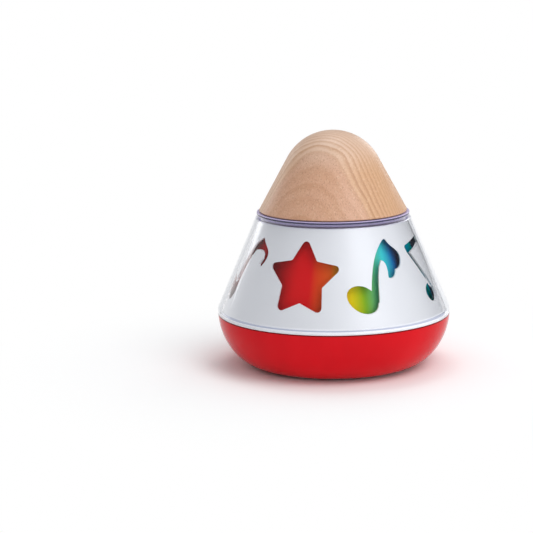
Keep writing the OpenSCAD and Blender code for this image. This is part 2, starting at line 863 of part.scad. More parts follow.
// The square at its lower end carries the ratchet, the blind socket at its upper end takes the shaft
module spring_arbor() {
    color("#a9adb3")
    difference() {
        union() {
            translate([-square_w / 2, -square_w / 2, ratchet_z])
                cube([square_w, square_w, bed_z - ratchet_z]);
            hole([0, 0], pivot_r, ratchet_z + ratchet_t, arbor_top);
            hole([0, 0], core_r, core_z, core_top);
            translate([0, 0, (core_z + core_top) / 2])
                rotate([0, 90, 0])
                cylinder(r = 0.5, h = core_r + 0.6);
        }
        intersection() {
            hole([0, 0], key_r + run_gap, key_z, arbor_top + 1);
            translate([-key_r * 2, -key_r * 2, key_z - 1])
                cube([key_r * 2.75 + run_gap, key_r * 4, arbor_top - key_z + 3]);
        }
        hole([0, 0], m20[0] + screw_gap, ratchet_z - 1, ratchet_z + 4.2);
    }
}

module ratchet_wheel() {
    step = 360 / ratchet_teeth;
    color("#8d9299")
    translate([0, 0, ratchet_z])
        linear_extrude(ratchet_t)
        difference() {
            polygon([for (i = [0 : ratchet_teeth - 1]) each [
                polar(ratchet_r, 180 + step * i), polar(ratchet_root, 180 + step * i)
            ]]);
            square(square_w + slip_gap, center = true);
        }
}

module ratchet_screw() {
    color("silver")
    translate([0, 0, ratchet_z])
        rotate([180, 0, 0])
        screw([m20[0], 3.4, 1], 4);
}

module rainbow_drum() {
    flange_top = web_top + drum_flange_t;
    color("#e8a020")
    difference() {
        rotate_extrude()
            polygon([
                [drum_in(drum_z), drum_z], [drum_out(drum_z), drum_z], [drum_out(drum_top), drum_top],
                [drum_in(drum_top), drum_top], [drum_in(flange_top), flange_top],
                [drum_flange_r, flange_top], [drum_flange_r, web_top], [drum_in(web_top), web_top]
            ]);
        for (a = [0, 120, 240])
            hole(polar(drum_screw_r, a), m20[0] + 0.15, web_top - 1, flange_top + 1);
    }
}

module drum_hub() {
    color("#f2f0ea")
    difference() {
        union() {
            hole([0, 0], 11, cap_top, cap_top + hub_flange_t);
            hole([0, 0], shaft_r + 2.6, cap_top, hub_tube_top);
            hole([0, 0], web_r, web_top - web_t, web_top);
        }
        hole([0, 0], shaft_bore_r, cap_top - 1, hub_tube_top + 1);
        for (i = [0 : web_holes - 1])
            hole(polar(0.56 * web_r, 360 * (i + 0.5) / web_holes), 6.4, web_top - web_t - 1, web_top + 1);
        for (a = [0, 120, 240]) {
            hole(polar(drum_screw_r, a), m20[0] + screw_gap, web_top - web_t - 1, web_top + 1);
            hole(polar(hub_screw_r, a), m20[0] + 0.1, cap_top - 1, cap_top + hub_flange_t + 1);
        }
    }
}

module drum_screws() {
    color("silver")
    for (a = [0, 120, 240])
        translate([polar(drum_screw_r, a)[0], polar(drum_screw_r, a)[1], web_top + drum_flange_t])
        screw(m20, drum_flange_t + web_t);
}

module great_wheel() {
    root = 0.5 * PI * face_m + 0.12;
    tip = 0.2 * PI * face_m;
    color("#c9a74e")
    difference() {
        union() {
            hole([0, 0], face_out, wheel_z, root_z);
            for (i = [0 : face_teeth - 1])
                rotate([0, 0, 360 * (i + 0.5) / face_teeth])
                translate([face_in, 0, 0])
                rotate([90, 0, 90])
                linear_extrude(face_out - face_in - 0.02)
                polygon([
                    [-root / 2, root_z - 0.3], [root / 2, root_z - 0.3], [root / 2, root_z],
                    [tip / 2, face_tip_z], [-tip / 2, face_tip_z], [-root / 2, root_z]
                ]);
        }
        hole([0, 0], spigot_r + slip_gap / 2, wheel_z - 1, root_z + 1);
        for (a = [60, 180, 300])
            hole(polar(rivet_r, a), 0.9 + screw_gap, wheel_z - 1, root_z + 1);
    }
}

module wheel_rivets() {
    color("#c9a74e")
    for (a = [60, 180, 300])
        union() {
            hole(polar(rivet_r, a), 0.9, wheel_z - 0.2, barrel_floor + 0.2);
            hole(polar(rivet_r, a), 1.5, wheel_z - 0.4, wheel_z);
            hole(polar(rivet_r, a), 1.5, barrel_floor, barrel_floor + 0.4);
        }
}

module spring_barrel() {
    color("#c9a74e")
    difference() {
        rotate_extrude()
            polygon([
                [pivot_bore_r, wheel_z], [spigot_r, wheel_z], [spigot_r, root_z], [barrel_r, root_z],
                [barrel_r, barrel_top], [barrel_in, barrel_top], [barrel_in, barrel_floor],
                [pivot_bore_r, barrel_floor]
            ]);
        for (a = [60, 180, 300])
            hole(polar(rivet_r, a), 0.9 + screw_gap, root_z - 1, barrel_floor + 1);
    }
}

module barrel_cap() {
    color("#c9a74e")
    difference() {
        rotate_extrude()
            polygon([
                [pivot_bore_r, barrel_top - 0.5], [barrel_in - slip_gap, barrel_top - 0.5],
                [barrel_in - slip_gap, barrel_top], [barrel_r, barrel_top], [barrel_r, cap_top],
                [pivot_bore_r, cap_top]
            ]);
        for (a = [0, 120, 240])
            hole(polar(hub_screw_r, a), m20[0] + screw_gap, barrel_top - 2, cap_top + 1);
    }
}

module hub_screws() {
    color("silver")
    for (a = [0, 120, 240])
        translate([polar(hub_screw_r, a)[0], polar(hub_screw_r, a)[1], cap_top + hub_flange_t])
        screw(m20, hub_flange_t + cap_t + 0.4);
}

// A strip in a spiral, its inner end at the arbor's stud and its outer end at the barrel's wall
module mainspring() {
    strip = 0.36;
    first = core_r + 0.3;
    last = barrel_in - 0.25;
    steps = 24 * spring_turns;
    color("#6f7780")
    translate([0, 0, core_z + 0.4])
        linear_extrude(core_top - core_z - 1)
        polygon(concat(
            [for (i = [0 : steps]) let (t = i / steps)
                polar(first + (last - strip - first) * t, 15 + 360 * spring_turns * t)],
            [for (i = [steps : -1 : 0]) let (t = i / steps)
                polar(first + strip + (last - strip - first) * t, 15 + 360 * spring_turns * t)]
        ));
}

module tune_cylinder() {
    wall = 0.8;
    cap = 1.2;
    color("#d0ad52")
    union() {
        translate([cyl_x, 0, axis_z])
            rotate([0, 90, 0])
            rotate_extrude()
            polygon([
                [axle_r + slip_gap / 5, 0], [cylinder_r, 0], [cylinder_r, cyl_len],
                [axle_r + slip_gap / 5, cyl_len], [axle_r + slip_gap / 5, cyl_len - cap],
                [cylinder_r - wall, cyl_len - cap], [cylinder_r - wall, cap],
                [axle_r + slip_gap / 5, cap]
            ]);
        for (i = [0 : comb_teeth - 1], k = [0 : 2])
            translate([cyl_x + (i + 0.5) * comb_pitch, 0, axis_z])
            rotate([137.5 * i + 120 * k + 23 * (i * k % 5), 0, 0])
            translate([0, 0, cylinder_r - 0.4])
            cylinder(r = 0.2, h = pin_h + 0.4, $fn = 13);
    }
}

module cylinder_arbor() {
    color("#c9ccd1")
    along_x(axle_x[0], axle_x[1] - axle_x[0])
        circle(r = axle_r);
}

module cylinder_pinion() {
    color("#c9a74e")
    along_x(pinion_x, pinion_w)
        gear(pinion_teeth, face_m, 0.3, 0, axle_r + slip_gap / 5);
}

module cylinder_wheel() {
    color("#c9a74e")
    along_x(wheel2_x, wheel2_w)
        gear(wheel_teeth, gear_m, 0.1, -90 + 180 / wheel_teeth, axle_r + slip_gap / 5);
}

module governor_arbor() {
    color("#c9ccd1")
    along_x(ear_x[0] - 0.2, ear_x[1] + ear_t - ear_x[0] + 0.4, gov_y)
        circle(r = gov_axle_r);
}

module governor_pinion() {
    color("#c9a74e")
    along_x(wheel2_x - 0.1, wheel2_w + 0.2, gov_y)
        gear(gov_teeth, gear_m, 0.1, 90, gov_axle_r + slip_gap / 5);
}

module worm_wheel() {
    color("#efe8d4")
    along_x(worm_x - worm_wheel_w / 2, worm_wheel_w, gov_y)
        gear(worm_teeth, gear_m, 0.16, -90 + 180 / worm_teeth, gov_axle_r + slip_gap / 5);
}

module fly_shaft() {
    color("#c9ccd1")
    hole([worm_x, worm_y], fly_shaft_r, bed_top + 0.5, fly_z + fly_h);
}

// One right-handed thread on a sleeve
module governor_worm() {
    turns = 4;
    steps = 20 * turns;
    half = [0.40, 0.13];
    // Each ring has its two roots and its two tips
    rings = [for (i = [0 : steps]) let (t = turns * (i / steps - 0.5), a = 90 + 360 * t, z = worm_lead * t) [
        [worm_core_r - 0.1, z - half[0]], [worm_tip_r, z - half[1]],
        [worm_tip_r, z + half[1]], [worm_core_r - 0.1, z + half[0]], a
    ]];
    pts = [for (g = rings) for (k = [0 : 3]) [g[k][0] * cos(g[4]), g[k][0] * sin(g[4]), g[k][1]]];
    sides = [for (i = [0 : steps - 1]) for (k = [0 : 3]) let (a = 4 * i + k, b = 4 * i + (k + 1) % 4) each [
        [a, b, b + 4], [a, b + 4, a + 4]
    ]];
    color("#efe8d4")
    translate([worm_x, worm_y, axis_z])
        difference() {
            union() {
                translate([0, 0, -worm_lead * turns / 2 - 1])
                    cylinder(r = worm_core_r, h = worm_lead * turns + 2);
                polyhedron(pts, concat(
                    [[0, 3, 2], [0, 2, 1]],
                    sides,
                    [[4 * steps, 4 * steps + 1, 4 * steps + 2], [4 * steps, 4 * steps + 2, 4 * steps + 3]]
                ));
            }
            translate([0, 0, -worm_lead * turns])
                cylinder(r = fly_shaft_r + 0.01, h = worm_lead * turns * 2);
        }
}

module fly() {
    color("#efe8d4")
    translate([worm_x, worm_y, fly_z])
        difference() {
            union() {
                cylinder(r = 1.6, h = fly_h);
                translate([-fly_r, -0.4, 0.2])
                    cube([2 * fly_r, 0.8, fly_h - 0.4]);
            }
            translate([0, 0, -1])
                cylinder(r = fly_shaft_r + 0.01, h = fly_h + 2);
        }
}

base_bowl();
foot_ring();
base_screws();
chassis_ring();
clear_shell();
silver_sleeve();
top_plate();
top_bush();
bedplate();
bed_screws();
arbor_bush();
click_spring();
click_screw();
cylinder_posts();
post_screws();
comb();
comb_screws();
governor_bracket();
bracket_screws();
wooden_knob();
knob_hub();
knob_screws();
winding_shaft();
hub_pin();
shaft_clip();
thrust_washer();
spring_arbor();
ratchet_wheel();
ratchet_screw();
rainbow_drum();
drum_hub();
drum_screws();
great_wheel();
wheel_rivets();
spring_barrel();
barrel_cap();
hub_screws();
mainspring();
tune_cylinder();
cylinder_arbor();
cylinder_pinion();
cylinder_wheel();
governor_arbor();
governor_pinion();
worm_wheel();
fly_shaft();
governor_worm();
fly();
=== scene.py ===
"""Dresses a wind-up music box: a turned beech knob, a clear shell over a silver sleeve with star and
note windows, a rainbow drum behind them, a glossy red bowl, and the clockwork inside."""

import json
import math

import bmesh
import bpy
from bpy.props import FloatProperty, FloatVectorProperty, IntProperty, PointerProperty
from bpy.types import Operator, Panel, PropertyGroup
from mathutils import Matrix, Vector


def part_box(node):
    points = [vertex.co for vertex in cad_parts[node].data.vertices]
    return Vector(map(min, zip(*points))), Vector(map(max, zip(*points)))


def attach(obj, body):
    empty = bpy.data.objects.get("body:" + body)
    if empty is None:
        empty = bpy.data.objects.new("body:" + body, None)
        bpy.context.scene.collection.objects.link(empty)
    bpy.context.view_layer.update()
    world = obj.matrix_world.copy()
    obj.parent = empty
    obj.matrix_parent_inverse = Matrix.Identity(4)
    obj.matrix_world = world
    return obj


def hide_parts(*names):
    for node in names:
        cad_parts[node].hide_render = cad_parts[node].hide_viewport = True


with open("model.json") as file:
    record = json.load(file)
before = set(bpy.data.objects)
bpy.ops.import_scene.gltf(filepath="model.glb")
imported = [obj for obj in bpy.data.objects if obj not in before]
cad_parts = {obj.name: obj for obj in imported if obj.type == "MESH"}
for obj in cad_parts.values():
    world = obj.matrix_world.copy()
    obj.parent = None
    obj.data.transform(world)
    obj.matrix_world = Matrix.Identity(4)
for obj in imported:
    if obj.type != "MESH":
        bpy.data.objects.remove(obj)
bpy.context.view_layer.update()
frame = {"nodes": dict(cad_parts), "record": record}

bl_info = {
    "name": "Music box looks",
    "version": (1, 0, 0),
    "blender": (4, 5, 0),
    "location": "3D View > Sidebar > Music Box",
    "description": "Models and finishes the pieces of a wind-up music box on its packed frame",
    "category": "Object",
}

MM = 0.001

# Points nearer than the merge gap become one, and cutting tools reach past what they cut by the overcut
MERGE_GAP = 0.002 * MM
OVERCUT = 1 * MM

# Edges that turn further are sharp, and wide faces rule the shading of the others
SHARP_ANGLE = math.radians(32)
FACE_WEIGHT = 100

# Steps of round shapes
LATHE_STEPS = 192
ROUND_STEPS = 6
DOME_STEPS = 48
SIDE_STEPS = 44
PEG_STEPS = 48
FLOOR_STEPS = 96

# Boxes of the packed nodes that the pieces fit
KNOB_LOW, KNOB_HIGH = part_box("wooden_knob")
HUB_LOW, HUB_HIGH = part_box("knob_hub")
SHELL_LOW, SHELL_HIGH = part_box("clear_shell")
SLEEVE_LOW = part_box("silver_sleeve")[0]
PLATE_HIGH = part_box("top_plate")[1]
BED_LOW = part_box("bedplate")[0]
BOWL_LOW, BOWL_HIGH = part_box("base_bowl")
FOOT_LOW, FOOT_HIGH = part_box("foot_ring")

# The rainbow: places along the print's run round the drum, and its colours there. Its darkest reds and blues
# are partly print and partly painted shade, darker where the sleeve shades the drum behind its windows
RAINBOW = [
    (0, "wine_and_shade"), (0.01, "wine_and_shade"), (0.0425, "red"), (0.07, "red"), (0.08, "ember"), (0.105, "orange"),
    (0.14, "yellow"), (0.1625, "lime"), (0.185, "green"), (0.2125, "cyan"), (0.235, "blue"),
    (0.25, "navy_and_shade"), (0.27, "navy_and_shade"), (0.3, "teal"), (0.312, "teal"), (0.322, "jade"), (0.332, "teal"),
    (0.35, "navy_and_shade"), (0.46, "navy_and_shade"), (0.52, "blue"), (0.57, "cyan"), (0.62, "green"), (0.66, "lime"),
    (0.7, "yellow"), (0.75, "orange"), (0.79, "ember"), (0.83, "red"), (0.95, "red"), (0.98, "wine_and_shade"),
    (1, "wine_and_shade"),
]

# The lamps: name, setting that holds the power, width and place in metres
LAMPS = [
    ("right_lamp", "right", 0.4, (0.45, 0.95, 0.36)),
    ("left_lamp", "left", 0.4, (-0.66, 0.7, 0.36)),
    ("key_lamp", "key", 0.8, (0.62, -0.56, 1.2)),
    ("fill_lamp", "fill", 0.6, (0.75, -0.95, 0.2)),
    ("top_lamp", "top", 0.6, (0, 0.35, 1.2)),
]
LAMP_AIM = Vector((0, 0, 0.05))

# The room's mirrored corner and the top of its walls, as shares of a direction along X, Y and Z
CORNER_EAST = (-0.05, 0.3)
CORNER_NORTH = (0.05, 0.4)
WALL_TOP = (0.04, 0.25)


# Properties

def linear(hex_colour):
    """A colour written as red, green and blue pairs of hex digits, as linear light."""
    shares = [int(hex_colour[i:i + 2], 16) / 255 for i in (0, 2, 4)]
    return [s / 12.92 if s <= 0.04045 else ((s + 0.055) / 1.055) ** 2.4 for s in shares]


def length(name, description, default):
    """A length in metres."""
    return FloatProperty(name=name, description=description, default=default, precision=5, unit="LENGTH")


def turn(name, description, degrees):
    """A turn, written in degrees and kept in radians."""
    return FloatProperty(name=name, description=description, default=math.radians(degrees),
                         precision=5, unit="ROTATION")


def number(name, description, default):
    """A number without a unit of Blender's."""
    return FloatProperty(name=name, description=description, default=default, precision=4)


def optics(name, description, millimetres):
    """A length in a camera, in millimetres."""
    return FloatProperty(name=name, description=description, default=millimetres, precision=2, unit="CAMERA")


def power(name, description, watts):
    """A lamp's power in watts."""
    return FloatProperty(name=name, description=description, default=watts, precision=2, unit="POWER")


def factor(name, description, default):
    """A share from 0 to 1."""
    return FloatProperty(name=name, description=description, default=default,
                         min=0, max=1, subtype="FACTOR")


def colour(name, description, hex_colour):
    """A colour, written in hex digits and kept as linear light."""
    return FloatVectorProperty(name=name, description=description, default=linear(hex_colour),
                               size=3, min=0, max=1, subtype="COLOR")


class KnobSettings(PropertyGroup):
    """Sizes and wood of the knob."""
    foot_radius: length("Foot radius", "Radius of the knob's foot", 35.1 * MM)
    dome_radius: length("Dome radius", "Radius of the dome on top", 24.4 * MM)
    edge_round: length("Edge rounding", "Rounding of the lower edge", 0.5 * MM)
    recess_gap: length("Recess clearance", "Clearance of the hub in the knob", 0.1 * MM)
    boss_gap: length("Boss clearance", "Clearance above the hub's boss", 0.5 * MM)
    boss_radius: length("Boss recess", "Radius of the recess for the hub's boss", 7.3 * MM)
    hub_plate: length("Hub plate", "Thickness of the hub's plate", 3 * MM)
    grain_turn: turn("Grain turn", "Turn of the year rings' outer side from the front", -22)
    grain_lean: number("Grain lean", "How far the rings lean forward for each height", 0.3)
    grain_sway: length("Grain sway", "How far the rings wander over a long way", 4 * MM)
    grain_ripple: length("Grain ripple", "How far the rings wander over a short way", 0.4 * MM)
    pith: length("Pith", "Distance of the tree's middle behind the knob's axis", 84 * MM)
    ring_width: length("Ring width", "Mean width of a year ring", 1.9 * MM)
    heart: length("Plain heart", "Depth in front of the axis at which the plain wood starts", 15.6 * MM)
    line_share: factor("Line strength", "How strongly the ring lines show", 0.8)
    fleck_share: factor("Fleck strength", "How strongly the pores show", 0.26)
    heart_flecks: factor("Heart flecks", "How much more strongly the pores show in the plain part", 0.22)
    ray_share: factor("Ray strength", "How strongly the rays show", 0.42)
    # Painted sheen: the top of the knob is painted paler, and its ring lines fainter, as if light shone on
    # its wax there
    sheen_share: factor("Rubbed strength", "How pale hands have rubbed the top", 0.65)
    sheen_low: length("Rubbed depth", "How far under the top the rubbed wood starts", 20 * MM)
    sheen_full: length("Fully rubbed depth", "How far under the top it is at its palest", 3 * MM)
    wax: factor("Wax", "How strongly the wax on the wood shines", 0.3)
    pale: colour("Pale wood", "Colour of the wood between the ring lines", "cfa47e")
    warm: colour("Warm wood", "Colour of the broad plain part in front", "cc9c80")
    late: colour("Late wood", "Colour of the thin lines between the year rings", "b07c54")
    fleck: colour("Flecks", "Colour of the short dark pores in the wood", "966a4e")
    ray: colour("Rays", "Colour of the short pale rays in the wood", "e2c2a4")
    sheen_colour: colour("Bleached wood", "Colour of the top, which hands have rubbed pale", "dac0ae")


class BowlSettings(PropertyGroup):
    """Sizes and plastic of the bowl."""
    flat_radius: length("Flat radius", "Radius of the flat bottom", 37.4 * MM)
    bulge: number("Bulge", "Exponent of the side's curve, 2 is an ellipse", 1.8)
    wall: length("Wall", "Wall thickness", 2.4 * MM)
    rim_round: length("Rim rounding", "Rounding of the rim's edge", 0.12 * MM)
    groove_gap: length("Groove clearance", "Clearance of the foot ring in its groove", 0.1 * MM)
    hole_radius: length("Sound hole", "Radius of a sound hole", 1.2 * MM)
    outer_holes: IntProperty(name="Outer holes", description="Sound holes in the outer ring", default=12)
    outer_ring: length("Outer hole ring", "Radius of the outer ring of sound holes", 12 * MM)
    outer_turn: turn("Outer hole turn", "Turn of the first sound hole in the outer ring", 15)
    inner_holes: IntProperty(name="Inner holes", description="Sound holes in the inner ring", default=6)
    inner_ring: length("Inner hole ring", "Radius of the inner ring of sound holes", 6.4 * MM)
    well_radius: length("Screw well", "Radius of the wells that the closing screws sit in", 2.9 * MM)
    well_depth: length("Well depth", "Height of a well's seat above the table", 6 * MM)
    post_radius: length("Post radius", "Radius of the posts round the closing screws", 4.2 * MM)
    post_top: length("Post height", "Height of the posts' tops above the table", 14 * MM)
    post_root: length("Post root", "How deep the posts reach down into the floor", 2 * MM)
    screw_hole: length("Screw hole", "Radius of the closing screws' holes", 1.5 * MM)
    bed_post_radius: length("Bed post radius", "Radius of the posts under the bedplate", 3 * MM)
    bed_hole: length("Bed hole", "Radius of the holes for the bedplate's screws", 1.3 * MM)
    bed_hole_depth: length("Bed hole depth", "Depth of those holes", 4.2 * MM)
    roughness: factor("Roughness", "How matt the plastic is", 0.14)
    gleam: factor("Gleam", "How much the plastic mirrors", 0.07)
    red: colour("Red", "Colour of the bowl", "d4151f")
    # Painted shadow: a dark line under the rim, where the clear shell meets it
    seam: colour("Seam", "Colour of the dark line under the rim", "6e0a0e")
    rim_shadow_height: length("Seam height", "Height of that line", 0.8 * MM)


class ShellSettings(PropertyGroup):
    """Sizes and plastic of the clear shell."""
    wall: length("Wall", "Wall thickness", 1.8 * MM)
    seat_gap: length("Seat gap", "Gap that keeps the foot's white seal clear of the bowl's rim", 0.04 * MM)
    band_height: length("Band", "Height of the upright band at the foot", 2.4 * MM)
    cone_top_radius: length("Cone top", "Radius of the cone at its top", 36.6 * MM)
    collar_height: length("Collar", "Height of the collar under the knob", 2.8 * MM)
    collar_inset: length("Collar inset", "How far the collar steps in from the cone", 0.6 * MM)
    lip_depth: length("Lip depth", "How far the lip reaches in over the plate", 1.6 * MM)
    boss_rise: length("Boss rise", "How far the plate's boss stands up under the lip", 0.6 * MM)
    foot_round: length("Foot rounding", "Rounding where the band meets the cone", 1.2 * MM)
    edge_round: length("Edge rounding", "Rounding of the other edges", 0.35 * MM)
    tint: colour("Tint", "Colour of the clear plastic", "fefeff")
    collar_tint: colour("Collar tint", "Colour of the clear collar", "eceaf8")
    seal: colour("Seal", "Colour of the print inside the collar's lip", "342c86")
    # Painted highlight: the top edge of the collar's print is painted pale lavender, as if it caught the
    # light
    seal_highlight: colour("Seal edge", "Colour of that print along the top", "b4a8cc")
    highlight_low: length("Seal edge low", "How far under the collar's top that colour starts", 0.45 * MM)
    highlight_full: length("Seal edge full", "How far under the collar's top that colour is full", 0.2 * MM)
    # Painted highlight: the collar's lining is painted paler towards the top, as if it mirrored bright light
    lining_highlight_low: length("Lining low", "Height on the collar at which its lining starts to pale", 0.8 * MM)
    lining_highlight_full: length("Lining full", "Height on the collar at which its lining is pale", 1.8 * MM)
    lining_step: length("Lining step", "Height of the step from one finish to the other", 0.02 * MM)
    mirror_low: factor("Mirror low", "Share of mirrored light at which the lining starts to show", 0.5)
    mirror_full: factor("Mirror full", "Share of mirrored light at which only the lining shows", 0.9)
    haze: colour("Haze", "What the plastic leaves of the light on a long way through it", "80868e")
    haze_depth: number("Haze depth", "Strength of the haze per metre", 24)
    gleam: colour("Gleam", "How much of its surroundings the cone mirrors", "a0a0a0")
    collar_gleam: colour("Collar gleam", "How much of its surroundings the collar mirrors", "ffffff")
    refraction: number("Refraction", "Index of refraction", 1.49)


class SleeveSettings(PropertyGroup):
    """Finish of the silver sleeve."""
    silver: colour("Silver", "Colour of the metallised sheet", "f0f2f5")
    roughness: factor("Roughness", "How satin the sheet is", 0.45)
    metal: factor("Metal", "How much the sheet mirrors", 0.25)


class DrumSettings(PropertyGroup):
    """The rainbow print of the drum, which runs round it once."""
    red_turn: turn("Red turn", "Turn of the reddest place from the front", -40)
    run: turn("Run", "Turn from red to navy and back to red", 360)
    red: colour("Red", "First colour of the print", "d4151a")
    ember: colour("Ember", "Colour of the print where the red turns orange", "d83c18")
    orange: colour("Orange", "Second colour of the print", "dc5a1c")
    yellow: colour("Yellow", "Third colour of the print", "e2ca10")
    lime: colour("Lime", "Fourth colour of the print", "7cae20")
    green: colour("Green", "Fifth colour of the print", "58b47c")
    cyan: colour("Cyan", "Sixth colour of the print", "3cc6ca")
    blue: colour("Blue", "Seventh colour of the print", "1068a8")
    # Partly print and partly painted shade: the darkest blue also stands in for shade behind the windows
    navy_and_shade: colour("Navy", "Darkest colour of the print", "10224e")
    teal: colour("Teal", "Colour of the print after the navy", "0a8ea4")
    jade: colour("Jade", "Colour of the thin stripe in the teal", "0aa07c")
    # Partly print and partly painted shade: the darkest red also stands in for shade behind the windows
    wine_and_shade: colour("Wine", "Darkest red of the print", "a81216")


class TrimSettings(PropertyGroup):
    """Finishes of the plate under the knob, the white ring, the foot ring and the clockwork."""
    foot_width: length("Foot width", "Width of the foot ring's rubber", 3.6 * MM)
    foot_round: length("Foot rounding", "Rounding of the foot ring's edges", 0.5 * MM)
    violet: colour("Violet", "Colour of the plate under the knob", "9a90b4")
    # Painted shade: the plate's edge is painted dark purple low down, under the collar
    shade_plum: colour("Plum", "Colour low on the edge of that plate", "3a2248")
    shade_plum_depth: length("Plum depth", "How far the plum lies under the collar's top", 2.1 * MM)
    white: colour("White", "Colour of the white plastic", "fcfdff")
    # Painted shadow: a grey line in the gap under the sleeve's bottom edge
    line: colour("Line", "Colour of the line above the white ring", "b8bed4")
    gap_shadow_height: length("Line height", "Height of that line", 0.6 * MM)
    gap_shadow_depth: length("Line depth", "How far that line lies under the sleeve", 1.0 * MM)
    rubber: colour("Rubber", "Colour of the foot ring", "3a3a3c")
    steel: colour("Steel", "Colour of bright steel", "d2d4d8")
    blued: colour("Blued steel", "Colour of spring steel", "66707c")
    zinc: colour("Zinc", "Colour of plated screws", "d6d7da")
    brass: colour("Brass", "Colour of brass", "d0ab58")
    cast: colour("Cast metal", "Colour of the bedplate", "b4b6ba")
    cream: colour("Cream", "Colour of the governor's plastic", "ebe2c8")


class StageSettings(PropertyGroup):
    """Camera, lamps, room and floor."""
    camera_y: length("Camera distance", "How far in front of the object the camera stands", 821.6 * MM)
    camera_z: length("Camera height", "Height of the camera above the floor", 202.7 * MM)
    pitch: turn("Pitch", "How far the camera looks down", 10.773)
    yaw: turn("Yaw", "How far the camera looks to the right", -2.212)
    roll: turn("Roll", "How far the camera leans", -0.787)
    lens: optics("Lens", "Focal length of the camera", 118.89)
    sensor: optics("Sensor", "Width of the camera's sensor", 36)
    near: length("Near", "Distance from which on the camera sees", 10 * MM)
    right: power("Right", "Power of the lamp at the right behind the object", 1.2)
    left: power("Left", "Power of the lamp at the left behind the object", 0.8)
    key: power("Key", "Power of the lamp high in front", 6.6)
    fill: power("Fill", "Power of the lamp low in front", 2.6)
    top: power("Top", "Power of the lamp overhead", 2.4)
    ambient: factor("Ambient", "Strength of the light from all round", 0.68)
    side: factor("Side", "How much more of that light comes from the right than from all round", 0.4)
    ceiling: factor("Ceiling", "How bright the room is overhead, against its white walls", 0.4)
    corner: factor("Corner", "How bright the mirrored corner at the right behind the object is", 0.03)
    daylight: colour("Daylight", "Colour of the light from all round", "fbfdff")
    floor: colour("Floor", "Colour of the floor", "f4f4f4")
    floor_radius: length("Floor radius", "Radius of the floor", 6)
    shadow_start: length("Shadow start", "Radius at which the floor starts to turn to plain white", 42 * MM)
    shadow_reach: length("Shadow reach", "Radius at which the floor has turned to plain white", 170 * MM)


# Shader maths

class Wire:
    """One output in a shader tree. Sums on it add Math nodes, and node() adds any other node."""

    def __init__(self, tree, socket=None):
        self.tree = tree
        self.socket = socket

    def node(self, kind, settings, inputs, output=0):
        """Adds a node: first its settings, then the values or links of its sockets."""
        made = self.tree.nodes.new("ShaderNode" + kind)
        for key, value in settings.items():
            if key == "stops":
                fill_ramp(made.color_ramp, value)
            else:
                setattr(made, key, value)
        for key, value in inputs.items():
            if isinstance(value, Wire):
                self.tree.links.new(value.socket, made.inputs[key])
            else:
                made.inputs[key].default_value = value
        return Wire(self.tree, made.outputs[output] if made.outputs else None)

    def math(self, operation, *values):
        """Adds a Math node on numbers or other outputs."""
        return self.node("Math", {"operation": operation}, dict(enumerate(values)))

    def __add__(self, other):
        return self.math("ADD", self, other)

    def __sub__(self, other):
        return self.math("SUBTRACT", self, other)

    def __rsub__(self, other):
        return self.math("SUBTRACT", other, self)

    def __mul__(self, other):
        return self.math("MULTIPLY", self, other)

    def __truediv__(self, other):
        return self.math("DIVIDE", self, other)

    __radd__ = __add__
    __rmul__ = __mul__

    def parts(self):
        """The three numbers of a vector."""
        return [self.node("SeparateXYZ", {}, {0: self}, axis) for axis in range(3)]

    def scaled(self, x, y, z):
        """A vector with its three numbers multiplied. Below 1, a pattern on it is drawn out that way."""
        return self.node("VectorMath", {"operation": "MULTIPLY"}, {0: self, 1: (x, y, z)})

    def noise(self, scale, detail=2):
        """Smooth noise from 0 to 1 at a place."""
        return self.node("TexNoise", {}, {"Vector": self, "Scale": scale, "Detail": detail})

    def ramp(self, low, high):
        """0 below low, 1 above high, and a soft step between them."""
        return self.node("MapRange", {"interpolation_type": "SMOOTHSTEP"},
                         {"Value": self, "From Min": low, "From Max": high})

    def mix(self, first, second):
        """The first colour where this is 0 and the second where it is 1."""
        ends = [end if isinstance(end, Wire) else (*end, 1) for end in (first, second)]
        return self.node("Mix", {"data_type": "RGBA"}, {0: self, 6: ends[0], 7: ends[1]}, 2)

    def bump(self, strength, distance):
        """A normal that is raised where this is high."""
        return self.node("Bump", {}, {"Strength": strength, "Distance": distance, "Height": self})

    def rays(self, *kinds):
        """For each kind of ray, 1 if the present ray is of that kind and 0 if not."""
        return [self.node("LightPath", {}, {}, "Is %s Ray" % kind) for kind in kinds]

    def reach(self, other):
        """The length of two numbers at a right angle."""
        return self.math("SQRT", self * self + other * other)


def fill_ramp(ramp, stops):
    """Gives a colour ramp its stops, each a place and a colour."""
    while len(ramp.elements) < len(stops):
        ramp.elements.new(1)
    for element, (place, shade) in zip(ramp.elements, stops):
        element.position = place
        element.color = (*shade, 1)


def new_finish(name):
    """An empty material, and the place on the piece in millimetres."""
    material = bpy.data.materials.new(name)
    material.use_nodes = True
    material.node_tree.nodes.clear()
    place = Wire(material.node_tree).node("TexCoord", {}, {}, "Object")
    return material, place.scaled(1 / MM, 1 / MM, 1 / MM)


def surface(start, inputs):
    """A Principled surface with the given sockets."""
    return start.node("BsdfPrincipled", {}, inputs)


def output(shader, volume=None):
    """Ends a material with its surface and what fills it."""
    inside = {"Volume": volume} if volume else {}
    shader.node("OutputMaterial", {}, {"Surface": shader, **inside})


# Finishes

# Scale of moulded plastic's orange peel, and heights of the finishes' relief
PEEL_SCALE = 0.9
PEEL_HEIGHT = 0.1 * MM
FINE_HEIGHT = 0.05 * MM
GRAIN_HEIGHT = 0.15 * MM

# Values of noise between which a mark comes up
FLOW_EDGE = (0.3, 0.7)
STAIN_EDGE = (0.35, 0.75)
CLOUD_EDGE = (0.3, 0.75)
FLECK_EDGE = (0.54, 0.7)
RAY_EDGE = (0.56, 0.72)

# Shares of a year between which a ring's line grows and ends, and the plain heart's edge in millimetres
LINE_GROWS = (0.2, 0.8)
LINE_ENDS = (0.84, 1.0)
HEART_EDGE = (-0.8, 1.2)

